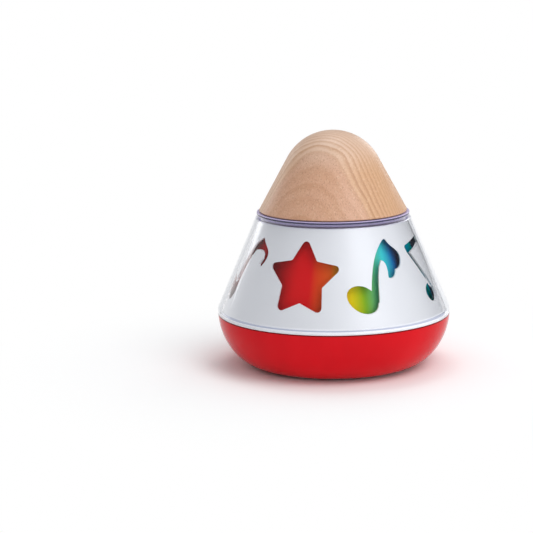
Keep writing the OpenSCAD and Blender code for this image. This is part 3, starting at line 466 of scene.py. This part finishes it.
# Share of the painted rim shadow's height that is fully dark
RIM_SHADOW_DARK = 0.4

# Whole runs of the print that are added to keep its run above zero
WHOLE_RUNS = 2

# How tool lines on metal are drawn out along X, Y and Z
UPRIGHT_LINES = (1, 1, 0.1)
CROSS_LINES = (0.2, 1, 1)
NO_LINES = (1, 1, 1)


def darker(shade, share):
    """A colour with a share of its light."""
    return [part * share for part in shade]


def beech(knob):
    """Pale beech: leaning year rings, a plain part in front, fine fibres and short dark flecks."""
    material, place = new_finish("beech")
    x, y, z = place.parts()
    sine, cosine = math.sin(knob.grain_turn), math.cos(knob.grain_turn)
    top, heart = KNOB_HIGH.z / MM, knob.heart / MM
    sway = place.scaled(1, 1, 0.4).noise(scale=0.05) - 0.5
    ripple = place.scaled(1, 1, 0.25).noise(scale=0.35, detail=1) - 0.5
    across = x * cosine + y * sine
    depth = y * cosine - x * sine - (z - top) * knob.grain_lean - across * across / (2 * knob.pith / MM)
    depth = depth + sway * (knob.grain_sway / MM) + ripple * (knob.grain_ripple / MM)
    inner = 1 - (depth + heart).ramp(*HEART_EDGE)
    # A ring's line grows slowly, ends at once, and is stronger in some years than in others
    years = depth / (knob.ring_width / MM)
    age = place.math("FRACT", years)
    year = place.math("FLOOR", years)
    chance = year.node("TexWhiteNoise", {"noise_dimensions": "1D"}, {"W": year})
    line = age.ramp(*LINE_GROWS) * (1 - age.ramp(*LINE_ENDS))
    line = line * (chance * 0.6 + 0.4) * (1 - inner * 0.55)
    # Marks along the grain
    fibre = place.scaled(1, 1, 0.08).noise(scale=2.2, detail=3)
    fleck = place.scaled(1, 1, 0.22).noise(scale=2.4, detail=1).ramp(*FLECK_EDGE)
    ray = place.scaled(1, 1, 0.3).noise(scale=1.9, detail=1).ramp(*RAY_EDGE)
    cloud = place.scaled(1, 1, 0.5).noise(scale=0.12).ramp(*CLOUD_EDGE)
    # Painted sheen: the top of the dome is painted paler and its ring lines fainter, as if light shone on
    # its wax
    top_sheen = z.ramp(top - knob.sheen_low / MM, top - knob.sheen_full / MM)
    wood = (inner * 0.75 + cloud * 0.15 + fibre * 0.1).mix(knob.pale, knob.warm)
    wood = (top_sheen * knob.sheen_share).mix(wood, knob.sheen_colour)
    wood = (line * (knob.line_share - top_sheen * 0.2)).mix(wood, knob.late)
    wood = (fleck * (knob.fleck_share + inner * knob.heart_flecks)).mix(wood, knob.fleck)
    wood = (ray * knob.ray_share).mix(wood, knob.ray)
    relief = 1 - line * 0.5 - fleck * 0.6 - fibre * 0.4
    output(surface(place, {
        "Base Color": wood, "Roughness": 0.4 + fibre * 0.16 + fleck * 0.08,
        "Coat Weight": knob.wax, "Coat Roughness": 0.3,
        "Normal": relief.bump(0.12, GRAIN_HEIGHT), "Specular IOR Level": 0.5,
    }))
    return material


def moulded(name, shade, roughness, gleam=0.5, grain=0.02, seam=None):
    """Moulded plastic: a faint flow of the colour, a slightly uneven gloss and a soft orange peel.
    A rim shadow is a painted shadow line along the top: its colour, its height and the top's height."""
    material, place = new_finish(name)
    flow = place.scaled(1, 1, 0.5).noise(scale=0.05)
    peel = place.noise(scale=PEEL_SCALE)
    tone = flow.ramp(*FLOW_EDGE).mix(shade, darker(shade, 0.9))
    if seam:
        _, _, z = place.parts()
        dark, height, top = seam
        # Painted shadow line along the top
        tone = z.ramp((top - height) / MM, (top - RIM_SHADOW_DARK * height) / MM).mix(tone, dark)
    output(surface(place, {
        "Base Color": tone, "Roughness": roughness + (peel - 0.5) * 0.06,
        "Specular IOR Level": gleam, "Normal": peel.bump(grain, PEEL_HEIGHT),
    }))
    return material


def metal(name, shade, roughness, lines=NO_LINES, grain=0.05):
    """Worked metal with fine tool lines and an uneven gloss."""
    material, place = new_finish(name)
    tool = place.scaled(*lines).noise(scale=6)
    stain = place.noise(scale=0.35)
    output(surface(place, {
        "Base Color": stain.ramp(*STAIN_EDGE).mix(shade, darker(shade, 0.82)), "Metallic": 1.0,
        "Roughness": roughness + (tool - 0.5) * 0.2 + (stain - 0.5) * 0.1,
        "Normal": tool.bump(grain, FINE_HEIGHT),
    }))
    return material


def silver_sheet(sleeve):
    """Metallised sheet: satin, with fine flakes in the lacquer."""
    material, place = new_finish("silver_sheet")
    flake = place.noise(scale=4.5, detail=1)
    cloud = place.scaled(1, 1, 0.4).noise(scale=0.06)
    mottle = flake.ramp(*FLOW_EDGE) * 0.5 + cloud * 0.5
    output(surface(place, {
        "Base Color": mottle.mix(sleeve.silver, darker(sleeve.silver, 0.94)),
        "Metallic": sleeve.metal, "Roughness": sleeve.roughness + (flake - 0.5) * 0.08,
        "Normal": flake.bump(0.015, FINE_HEIGHT),
    }))
    return material


def rainbow_print(drum):
    """A print that runs from red to navy and back to red, once round the drum."""
    material, place = new_finish("rainbow_print")
    x, y, _ = place.parts()
    round_turn = place.math("ARCTAN2", x, 0 - y)
    run = place.math("FRACT", (round_turn - drum.red_turn) / drum.run + WHOLE_RUNS)
    stops = [(spot, getattr(drum, shade)) for spot, shade in RAINBOW]
    ink = run.node("ValToRGB", {"stops": stops}, {0: run})
    dot = place.noise(scale=3, detail=1)
    output(surface(place, {
        "Base Color": ink, "Roughness": 0.5 + dot * 0.08, "Specular IOR Level": 0.0,
        "Normal": dot.bump(0.02, FINE_HEIGHT),
    }))
    return material


def white_ring(trim, silver):
    """White plastic whose top edge is silvered like the sleeve above it, with a painted grey shadow line
    between them.
    """
    material, place = new_finish("white_ring")
    _, _, z = place.parts()
    peel = place.noise(scale=PEEL_SCALE)
    down = SLEEVE_LOW.z / MM - z + (peel - 0.5) * 0.1
    line, reach = trim.gap_shadow_height / MM, trim.gap_shadow_depth / MM
    # Painted shadow line under the sleeve
    tone = down.ramp(reach - line, reach - line / 2).mix(silver, trim.line)
    tone = down.ramp(reach, reach + line / 2).mix(tone, trim.white)
    output(surface(place, {
        "Base Color": tone, "Roughness": 0.3 + peel * 0.1, "Normal": peel.bump(0.02, PEEL_HEIGHT),
    }))
    return material


def violet_plate(trim):
    """Violet plastic with painted shade: dark purple low on the plate's edge."""
    material, place = new_finish("violet_plastic")
    _, _, z = place.parts()
    flow = place.noise(scale=0.08)
    edge = (SHELL_HIGH.z - trim.shade_plum_depth) / MM
    rise = (z + (flow - 0.5) * 0.2).ramp(edge - 0.2, edge + 0.2)
    output(surface(place, {
        "Base Color": rise.mix(trim.shade_plum, trim.violet), "Roughness": 0.22 + flow * 0.06,
    }))
    return material


def clear_plastic(shell, sleeve, cone_foot, cone_top, collar_foot):
    """Clear plastic that refracts what is behind it, hazes a long way through it and lets the lamps' light
    through. The collar is tinted and more polished than the cone. Where their insides would mirror, they
    show the silver sleeve and the violet plate that they lie on. The cone's foot and top are given in the
    middle of its wall."""
    material, place = new_finish("clear_plastic")
    x, y, z = place.parts()
    cone, collar = [
        surface(place, {
            "Base Color": (*tint, 1), "Transmission Weight": 1.0, "Roughness": 0.0, "IOR": shell.refraction,
            "Specular Tint": (*gleam, 1),
        })
        for tint, gleam in ((shell.tint, shell.gleam), (shell.collar_tint, shell.collar_gleam))]
    foot = collar_foot / MM
    on_collar = z.ramp(foot - shell.lining_step / MM, foot)
    glass = place.node("MixShader", {}, {0: on_collar, 1: cone, 2: collar})
    open_way = place.node("BsdfTransparent", {}, {0: (*shell.tint, 1)})
    slope = (cone_top[0] - cone_foot[0]) / (cone_top[1] - cone_foot[1])
    middle = (z - cone_foot[1] / MM) * slope + cone_foot[0] / MM
    inner_side = place.math("LESS_THAN", x.reach(y), middle)
    fresnel = place.node("Fresnel", {}, {"IOR": shell.refraction})
    mirrored = fresnel.ramp(shell.mirror_low, shell.mirror_full)
    # Painted highlight: the collar's lining pales from dark blue to lavender towards its top
    pale = z.ramp(foot + shell.lining_highlight_low / MM, foot + shell.lining_highlight_full / MM)
    violet = pale.mix(shell.seal, shell.seal_highlight)
    lining = surface(place, {
        "Base Color": on_collar.mix(sleeve.silver, violet), "Metallic": sleeve.metal,
        "Roughness": sleeve.roughness,
    })
    glass = place.node("MixShader", {}, {0: inner_side * mirrored, 1: glass, 2: lining})
    haze = place.node("VolumeAbsorption", {}, {"Color": (*shell.haze, 1), "Density": shell.haze_depth})
    shadow, diffuse, glossy, sharp = place.rays("Shadow", "Diffuse", "Glossy", "Singular")
    through = place.math("MAXIMUM", place.math("MAXIMUM", shadow, diffuse), glossy * (1 - sharp))
    output(through.node("MixShader", {}, {0: through, 1: glass, 2: open_way}), haze)
    return material


def collar_seal(shell):
    """The print inside the collar's lip: dark blue, with a painted lavender highlight along its top edge."""
    material, place = new_finish("collar_seal")
    _, _, z = place.parts()
    flow = place.noise(scale=0.3)
    top = SHELL_HIGH.z / MM
    # Painted highlight along the top edge
    rise = (z + (flow - 0.5) * 0.1).ramp(top - shell.highlight_low / MM, top - shell.highlight_full / MM)
    output(surface(place, {
        "Base Color": rise.mix(shell.seal, shell.seal_highlight), "Roughness": 0.3 + flow * 0.1,
    }))
    return material


# Shapes

def round_corner(shape, corner, radius):
    """Rounds a corner of an outline."""
    back, on = [edge.other_vert(corner).co - corner.co for edge in corner.link_edges]
    reach = radius / math.tan(back.angle(on) / 2)
    bmesh.ops.bevel(shape, geom=[corner], offset=reach, segments=ROUND_STEPS, profile=0.5,
                    affect="VERTICES", material=-1)


def lathe(name, corners):
    """Turns an outline about the Z axis. A corner is its radius, its height and its rounding."""
    shape = bmesh.new()
    points = [shape.verts.new((radius, 0, height)) for radius, height, _ in corners]
    from_axis = corners[0][0] == 0 and corners[-1][0] == 0
    for start, end in zip(points, points[1:] if from_axis else points[1:] + points[:1]):
        shape.edges.new((start, end))
    for point, (_, _, rounding) in zip(points, corners):
        if rounding:
            round_corner(shape, point, rounding)
    bmesh.ops.spin(shape, geom=shape.verts[:] + shape.edges[:], axis=(0, 0, 1), cent=(0, 0, 0),
                   angle=math.tau, steps=LATHE_STEPS, use_merge=True)
    bmesh.ops.remove_doubles(shape, verts=shape.verts, dist=MERGE_GAP)
    bmesh.ops.recalc_face_normals(shape, faces=shape.faces)
    return finished(shape, name)


def mark_sharp(shape):
    """Marks the edges of a shape as smooth or sharp."""
    for edge in shape.edges:
        edge.smooth = edge.is_manifold and edge.calc_face_angle() < SHARP_ANGLE


def finished(shape, name):
    """Makes an object of a shape, smooth apart from its sharp edges."""
    for face in shape.faces:
        face.smooth = True
    mark_sharp(shape)
    mesh = bpy.data.meshes.new(name)
    shape.to_mesh(mesh)
    shape.free()
    piece = bpy.data.objects.new(name, mesh)
    bpy.context.scene.collection.objects.link(piece)
    return piece


def arc(middle, radius, start, end, steps):
    """Corners along an arc about a middle, without the last one."""
    turns = [start + (end - start) * step / steps for step in range(steps)]
    return [(middle[0] + radius * math.cos(a), middle[1] + radius * math.sin(a), 0) for a in turns]


def pegs(name, spots, radius, low, high):
    """A group of upright cylinders."""
    shape = bmesh.new()
    for spot in spots:
        place = Matrix.Translation((spot[0], spot[1], (low + high) / 2))
        bmesh.ops.create_cone(shape, cap_ends=True, segments=PEG_STEPS, radius1=radius, radius2=radius,
                              depth=high - low, matrix=place)
    return finished(shape, name)


def ring_of(count, radius, first=0.0):
    """Spots evenly round a circle."""
    turns = [first + math.tau * step / count for step in range(count)]
    return [(radius * math.cos(a), radius * math.sin(a)) for a in turns]


def spots(node):
    """The middles of a node's separate bodies, seen from above."""
    shape = bmesh.new()
    shape.from_mesh(frame["nodes"][node].data)
    shape.transform(frame["nodes"][node].matrix_world)
    bmesh.ops.remove_doubles(shape, verts=shape.verts, dist=MERGE_GAP)
    middles, known = [], set()
    for first in shape.verts:
        if first in known:
            continue
        known.add(first)
        body = [first]
        for vert in body:
            near = [edge.other_vert(vert) for edge in vert.link_edges]
            body += [other for other in near if other not in known]
            known.update(near)
        wide, deep = [vert.co.x for vert in body], [vert.co.y for vert in body]
        middles.append(((min(wide) + max(wide)) / 2, (min(deep) + max(deep)) / 2))
    shape.free()
    return middles


def carve(piece, tools, operation):
    """Joins tools to a piece or cuts them out of it, and takes the tools away."""
    for tool in tools:
        step = piece.modifiers.new(tool.name, "BOOLEAN")
        step.operation = operation
        step.solver = "EXACT"
        step.object = tool
    graph = bpy.context.evaluated_depsgraph_get()
    plain = piece.data
    carved = bpy.data.meshes.new_from_object(piece.evaluated_get(graph))
    piece.modifiers.clear()
    shape = bmesh.new()
    shape.from_mesh(carved)
    bmesh.ops.remove_doubles(shape, verts=shape.verts, dist=MERGE_GAP)
    mark_sharp(shape)
    shape.to_mesh(plain)
    shape.free()
    bpy.data.meshes.remove(carved)
    for tool in tools:
        bpy.data.objects.remove(tool)


def dress(piece, material, body, node):
    """Gives a piece even shading, its finish and its body, hides the node that it stands for and gives that
    node the same finish.
    """
    even = piece.modifiers.new("even_normals", "WEIGHTED_NORMAL")
    even.weight = FACE_WEIGHT
    even.keep_sharp = True
    piece.data.materials.clear()
    piece.data.materials.append(material)
    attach(piece, body)
    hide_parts(node)
    coat(node, material)


def coat(node, material):
    """Gives a carried-over node a finish."""
    slots = frame["nodes"][node].material_slots
    if not slots:
        raise RuntimeError(node + " has no material slot")
    for slot in slots:
        slot.material = material


def nodes_of(slot):
    """The nodes that take their finish from a slot."""
    return [part["node"] for part in frame["record"]["subparts"] if part["material_slot"] == slot]


# Operators

class MUSICBOX_OT_wooden_knob(Operator):
    """Turns the beech knob with the recess for its hub"""
    bl_idname = "music_box.wooden_knob"
    bl_label = "Wooden knob"

    def execute(self, context):
        knob = context.scene.music_box_knob
        middle = (0, KNOB_HIGH.z - knob.dome_radius)
        foot = Vector((knob.foot_radius, KNOB_LOW.z - middle[1]))
        touch = math.atan2(foot.y, foot.x) + math.acos(knob.dome_radius / foot.length)
        recess = HUB_HIGH.x + knob.recess_gap
        hub_top = HUB_LOW.z + knob.hub_plate
        boss_top = HUB_HIGH.z + knob.boss_gap
        piece = lathe("beech_knob", [
            (0, boss_top, 0), (knob.boss_radius, boss_top, 0), (knob.boss_radius, hub_top, 0),
            (recess, hub_top, 0), (recess, KNOB_LOW.z, knob.edge_round / 3),
            (knob.foot_radius, KNOB_LOW.z, knob.edge_round),
            *arc(middle, knob.dome_radius, touch, math.pi / 2, DOME_STEPS), (0, KNOB_HIGH.z, 0),
        ])
        dress(piece, beech(knob), "winder", "wooden_knob")
        return {"FINISHED"}


class MUSICBOX_OT_red_bowl(Operator):
    """Turns the red bowl with its foot groove, screw wells and sound holes"""
    bl_idname = "music_box.red_bowl"
    bl_label = "Red bowl"

    def execute(self, context):
        bowl = context.scene.music_box_bowl
        rim, low = BOWL_HIGH.x, BOWL_LOW.z
        floor = low + bowl.wall
        groove_out = FOOT_HIGH.x + bowl.groove_gap
        groove_in = groove_out - 2 * bowl.groove_gap - context.scene.music_box_trim.foot_width
        piece = lathe("red_bowl", [
            (0, low, 0), (groove_in, low, 0), (groove_in, FOOT_HIGH.z, 0),
            (groove_out, FOOT_HIGH.z, 0), (groove_out, low, 0),
            *self.side(bowl, rim, low),
            (rim, BOWL_HIGH.z, bowl.rim_round), (rim - bowl.wall, BOWL_HIGH.z, 0),
            *reversed(self.side(bowl, rim - bowl.wall, floor)), (0, floor, 0),
        ])
        wells, beds = spots("base_screws"), spots("bed_screws")
        holes = ring_of(bowl.outer_holes, bowl.outer_ring, bowl.outer_turn)
        holes += ring_of(bowl.inner_holes, bowl.inner_ring)
        carve(piece, [
            pegs("post_tool", wells, bowl.post_radius, floor - bowl.post_root, bowl.post_top),
            pegs("bed_post_tool", beds, bowl.bed_post_radius, floor - bowl.post_root, BED_LOW.z),
        ], "UNION")
        carve(piece, [
            pegs("hole_tool", holes, bowl.hole_radius, low - OVERCUT, floor + OVERCUT),
            pegs("well_tool", wells, bowl.well_radius, low - OVERCUT, bowl.well_depth),
            pegs("screw_tool", wells, bowl.screw_hole, bowl.well_depth - OVERCUT, bowl.post_top + OVERCUT),
            pegs("bed_hole_tool", beds, bowl.bed_hole, BED_LOW.z - bowl.bed_hole_depth, BED_LOW.z + OVERCUT),
        ], "DIFFERENCE")
        seam = (bowl.seam, bowl.rim_shadow_height, BOWL_HIGH.z)
        red = moulded("red_plastic", bowl.red, bowl.roughness, bowl.gleam, seam=seam)
        dress(piece, red, "base", "base_bowl")
        return {"FINISHED"}

    def side(self, bowl, rim, low):
        """The bowl's curve from its flat bottom up to its rim, without the rim itself."""
        turns = [math.pi / 2 * (1 - step / SIDE_STEPS) for step in range(SIDE_STEPS)]
        run, drop, bend = rim - bowl.flat_radius, BOWL_HIGH.z - low, 2 / bowl.bulge
        return [(bowl.flat_radius + run * math.cos(a) ** bend, BOWL_HIGH.z - drop * math.sin(a) ** bend, 0)
                for a in turns]


class MUSICBOX_OT_clear_shell(Operator):
    """Turns the clear shell: foot band, cone, collar and lip"""
    bl_idname = "music_box.clear_shell"
    bl_label = "Clear shell"

    def execute(self, context):
        shell, sleeve = context.scene.music_box_shell, context.scene.music_box_sleeve
        rim, foot, top = SHELL_HIGH.x, SHELL_LOW.z + shell.seat_gap, SHELL_HIGH.z
        cone_foot = SHELL_LOW.z + shell.band_height
        cone_top = top - shell.collar_height
        lean = math.hypot(1, (rim - shell.cone_top_radius) / (cone_top - cone_foot))
        inside = shell.wall * lean
        neck = shell.cone_top_radius - shell.collar_inset
        socket = neck - shell.wall
        plate_top = PLATE_HIGH.z - shell.boss_rise
        soft = shell.edge_round
        piece = lathe("clear_cover", [
            (rim - inside, foot, 0), (rim, foot, 0), (rim, cone_foot, shell.foot_round),
            (shell.cone_top_radius, cone_top, soft), (neck, cone_top, soft / 2), (neck, top, soft),
            (socket - shell.lip_depth, top, soft / 2), (socket - shell.lip_depth, plate_top, 0),
            (socket, plate_top, 0), (socket, cone_top, 0),
            (shell.cone_top_radius - inside, cone_top, 0), (rim - inside, cone_foot, 0),
        ])
        half = inside / 2
        plastic = clear_plastic(shell, sleeve, (rim - half, cone_foot),
                                (shell.cone_top_radius - half, cone_top), cone_top - soft)
        dress(piece, plastic, "base", "clear_shell")
        white = moulded("band_seal", context.scene.music_box_trim.white, roughness=0.35)
        piece.data.materials.append(collar_seal(shell))
        piece.data.materials.append(white)
        lip_print, band_print = 1, 2
        for face in piece.data.polygons:
            middle, height = face.center.xy.length, face.center.z
            if height < foot + MERGE_GAP:
                face.material_index = band_print
            elif height > top - soft or height > cone_top and middle < socket - soft / 2:
                face.material_index = lip_print
        return {"FINISHED"}


class MUSICBOX_OT_silver_sleeve(Operator):
    """Finishes the silver sleeve with its windows"""
    bl_idname = "music_box.silver_sleeve"
    bl_label = "Silver sleeve"

    def execute(self, context):
        coat("silver_sleeve", silver_sheet(context.scene.music_box_sleeve))
        return {"FINISHED"}


class MUSICBOX_OT_rainbow_drum(Operator):
    """Prints the rainbow on the drum"""
    bl_idname = "music_box.rainbow_drum"
    bl_label = "Rainbow drum"

    def execute(self, context):
        coat("rainbow_drum", rainbow_print(context.scene.music_box_drum))
        return {"FINISHED"}


class MUSICBOX_OT_foot_ring(Operator):
    """Turns the rubber foot ring with its rounded edges"""
    bl_idname = "music_box.foot_ring"
    bl_label = "Foot ring"

    def execute(self, context):
        trim = context.scene.music_box_trim
        outer = FOOT_HIGH.x
        inner = outer - trim.foot_width
        piece = lathe("rubber_foot", [
            (inner, FOOT_LOW.z, trim.foot_round), (outer, FOOT_LOW.z, trim.foot_round),
            (outer, FOOT_HIGH.z, 0), (inner, FOOT_HIGH.z, 0),
        ])
        rubber = moulded("foot_rubber", trim.rubber, roughness=0.7, gleam=0.3, grain=0.15)
        dress(piece, rubber, "base", "foot_ring")
        return {"FINISHED"}


class MUSICBOX_OT_inner_pieces(Operator):
    """Finishes the violet plate, the white plastic pieces and the clockwork"""
    bl_idname = "music_box.inner_pieces"
    bl_label = "Inner pieces"

    def execute(self, context):
        trim = context.scene.music_box_trim
        finishes = {
            "violet_plastic": violet_plate(trim),
            "white_plastic": moulded("white_plastic", trim.white, roughness=0.35),
            "steel": metal("steel", trim.steel, roughness=0.25, lines=UPRIGHT_LINES),
            "spring_steel": metal("spring_steel", trim.blued, roughness=0.3, lines=UPRIGHT_LINES),
            "screw_steel": metal("screw_steel", trim.zinc, roughness=0.32),
            "brass": metal("brass", trim.brass, roughness=0.25, lines=CROSS_LINES),
            "cast_metal": metal("cast_metal", trim.cast, roughness=0.55, grain=0.25),
            "cream_plastic": moulded("cream_plastic", trim.cream, roughness=0.45),
        }
        for slot, material in finishes.items():
            for node in nodes_of(slot):
                coat(node, material)
        coat("chassis_ring", white_ring(trim, context.scene.music_box_sleeve.silver))
        return {"FINISHED"}


class MUSICBOX_OT_stage(Operator):
    """Lays the floor, hangs the lamps and sets up the camera"""
    bl_idname = "music_box.stage"
    bl_label = "Stage"

    def execute(self, context):
        stage = context.scene.music_box_stage
        context.scene.view_settings.view_transform = "Standard"
        self.lay_floor(stage)
        self.light_room(context, stage)
        for name, setting, size, place in LAMPS:
            self.hang_lamp(context, name, getattr(stage, setting), size, place)
        self.set_camera(context, stage)
        return {"FINISHED"}

    def lay_floor(self, stage):
        """A pale floor that shows the object's shadow near it and plain white further away."""
        shape = bmesh.new()
        bmesh.ops.create_circle(shape, cap_ends=True, segments=FLOOR_STEPS, radius=stage.floor_radius)
        floor = finished(shape, "floor")
        material, place = new_finish("floor")
        x, y, _ = place.parts()
        away = x.reach(y).ramp(stage.shadow_start / MM, stage.shadow_reach / MM)
        camera, glossy, through = place.rays("Camera", "Glossy", "Transmission")
        plain = away * place.math("MINIMUM", camera + glossy + through, 1)
        ground = place.node("BsdfDiffuse", {}, {0: (*stage.floor, 1)})
        white = place.node("Emission", {}, {"Color": (1, 1, 1, 1), "Strength": 1.0})
        output(plain.node("MixShader", {}, {0: plain, 1: ground, 2: white}))
        floor.data.materials.append(material)

    def light_room(self, context, stage):
        """Soft light from all round. What the camera, mirrors and clear pieces see is a white room with a
        darker ceiling, and mirrors see a dark corner in it."""
        world = bpy.data.worlds.new("room")
        world.use_nodes = True
        world.node_tree.nodes.clear()
        room = Wire(world.node_tree)
        camera, glossy, through = room.rays("Camera", "Glossy", "Transmission")
        plain = room.math("MINIMUM", camera + glossy + through, 1)
        east, north, rise = room.node("TexCoord", {}, {}, "Generated").parts()
        corner = east.ramp(*CORNER_EAST) * north.ramp(*CORNER_NORTH) * glossy * (1 - stage.corner)
        wall = (1 - rise.ramp(*WALL_TOP) * (1 - stage.ceiling)) * (1 - corner)
        soft = (east * stage.side + 1) * stage.ambient
        light = plain * (wall - soft) + soft
        tone = plain.mix(stage.daylight, (1, 1, 1))
        sky = room.node("Background", {}, {"Color": tone, "Strength": light})
        room.node("OutputWorld", {}, {"Surface": sky})
        context.scene.world = world

    def hang_lamp(self, context, name, watts, size, place):
        """A square lamp that is aimed at the object."""
        light = bpy.data.lights.new(name, "AREA")
        light.energy = watts
        light.size = size
        lamp = bpy.data.objects.new(name, light)
        lamp.visible_camera = False
        aim = LAMP_AIM - Vector(place)
        lamp.matrix_world = Matrix.Translation(place) @ aim.to_track_quat("-Z", "Y").to_matrix().to_4x4()
        context.scene.collection.objects.link(lamp)

    def set_camera(self, context, stage):
        """The camera from which the photo was taken."""
        ahead = Vector((math.sin(stage.yaw) * math.cos(stage.pitch),
                        math.cos(stage.yaw) * math.cos(stage.pitch), -math.sin(stage.pitch)))
        level = Vector((math.cos(stage.yaw), -math.sin(stage.yaw), 0))
        upright = level.cross(ahead)
        right = level * math.cos(stage.roll) + upright * math.sin(stage.roll)
        up = upright * math.cos(stage.roll) - level * math.sin(stage.roll)
        camera = bpy.data.objects.new("camera", bpy.data.cameras.new("camera"))
        camera.data.lens = stage.lens
        camera.data.sensor_width = stage.sensor
        camera.data.clip_start = stage.near
        turned = Matrix((right, up, -ahead)).transposed().to_4x4()
        camera.matrix_world = Matrix.Translation((0, -stage.camera_y, stage.camera_z)) @ turned
        context.scene.collection.objects.link(camera)
        context.scene.camera = camera


class MUSICBOX_PT_looks(Panel):
    """Lists the pieces of the music box"""
    bl_idname = "MUSICBOX_PT_looks"
    bl_label = "Music Box"
    bl_space_type = "VIEW_3D"
    bl_region_type = "UI"
    bl_category = "Music Box"

    def draw(self, context):
        for operator in OPERATORS:
            self.layout.operator(operator.bl_idname)
        for name, group in SETTINGS.items():
            box = self.layout.box()
            box.label(text=group.__doc__)
            for key in group.__annotations__:
                box.prop(getattr(context.scene, name), key)


SETTINGS = {
    "music_box_knob": KnobSettings,
    "music_box_bowl": BowlSettings,
    "music_box_shell": ShellSettings,
    "music_box_sleeve": SleeveSettings,
    "music_box_drum": DrumSettings,
    "music_box_trim": TrimSettings,
    "music_box_stage": StageSettings,
}
OPERATORS = [
    MUSICBOX_OT_stage, MUSICBOX_OT_wooden_knob, MUSICBOX_OT_red_bowl, MUSICBOX_OT_clear_shell,
    MUSICBOX_OT_silver_sleeve, MUSICBOX_OT_rainbow_drum, MUSICBOX_OT_foot_ring, MUSICBOX_OT_inner_pieces,
]


def register():
    for group in SETTINGS.values():
        bpy.utils.register_class(group)
    for name, group in SETTINGS.items():
        setattr(bpy.types.Scene, name, PointerProperty(type=group))
    for operator in OPERATORS:
        bpy.utils.register_class(operator)
    bpy.utils.register_class(MUSICBOX_PT_looks)


def unregister():
    bpy.utils.unregister_class(MUSICBOX_PT_looks)
    for operator in reversed(OPERATORS):
        bpy.utils.unregister_class(operator)
    for name in SETTINGS:
        delattr(bpy.types.Scene, name)
    for group in reversed(SETTINGS.values()):
        bpy.utils.unregister_class(group)


def main():
    """Makes the stage and every piece."""
    register()
    for operator in OPERATORS:
        family, name = operator.bl_idname.split(".")
        getattr(getattr(bpy.ops, family), name)()


if __name__ == "__main__":
    main()
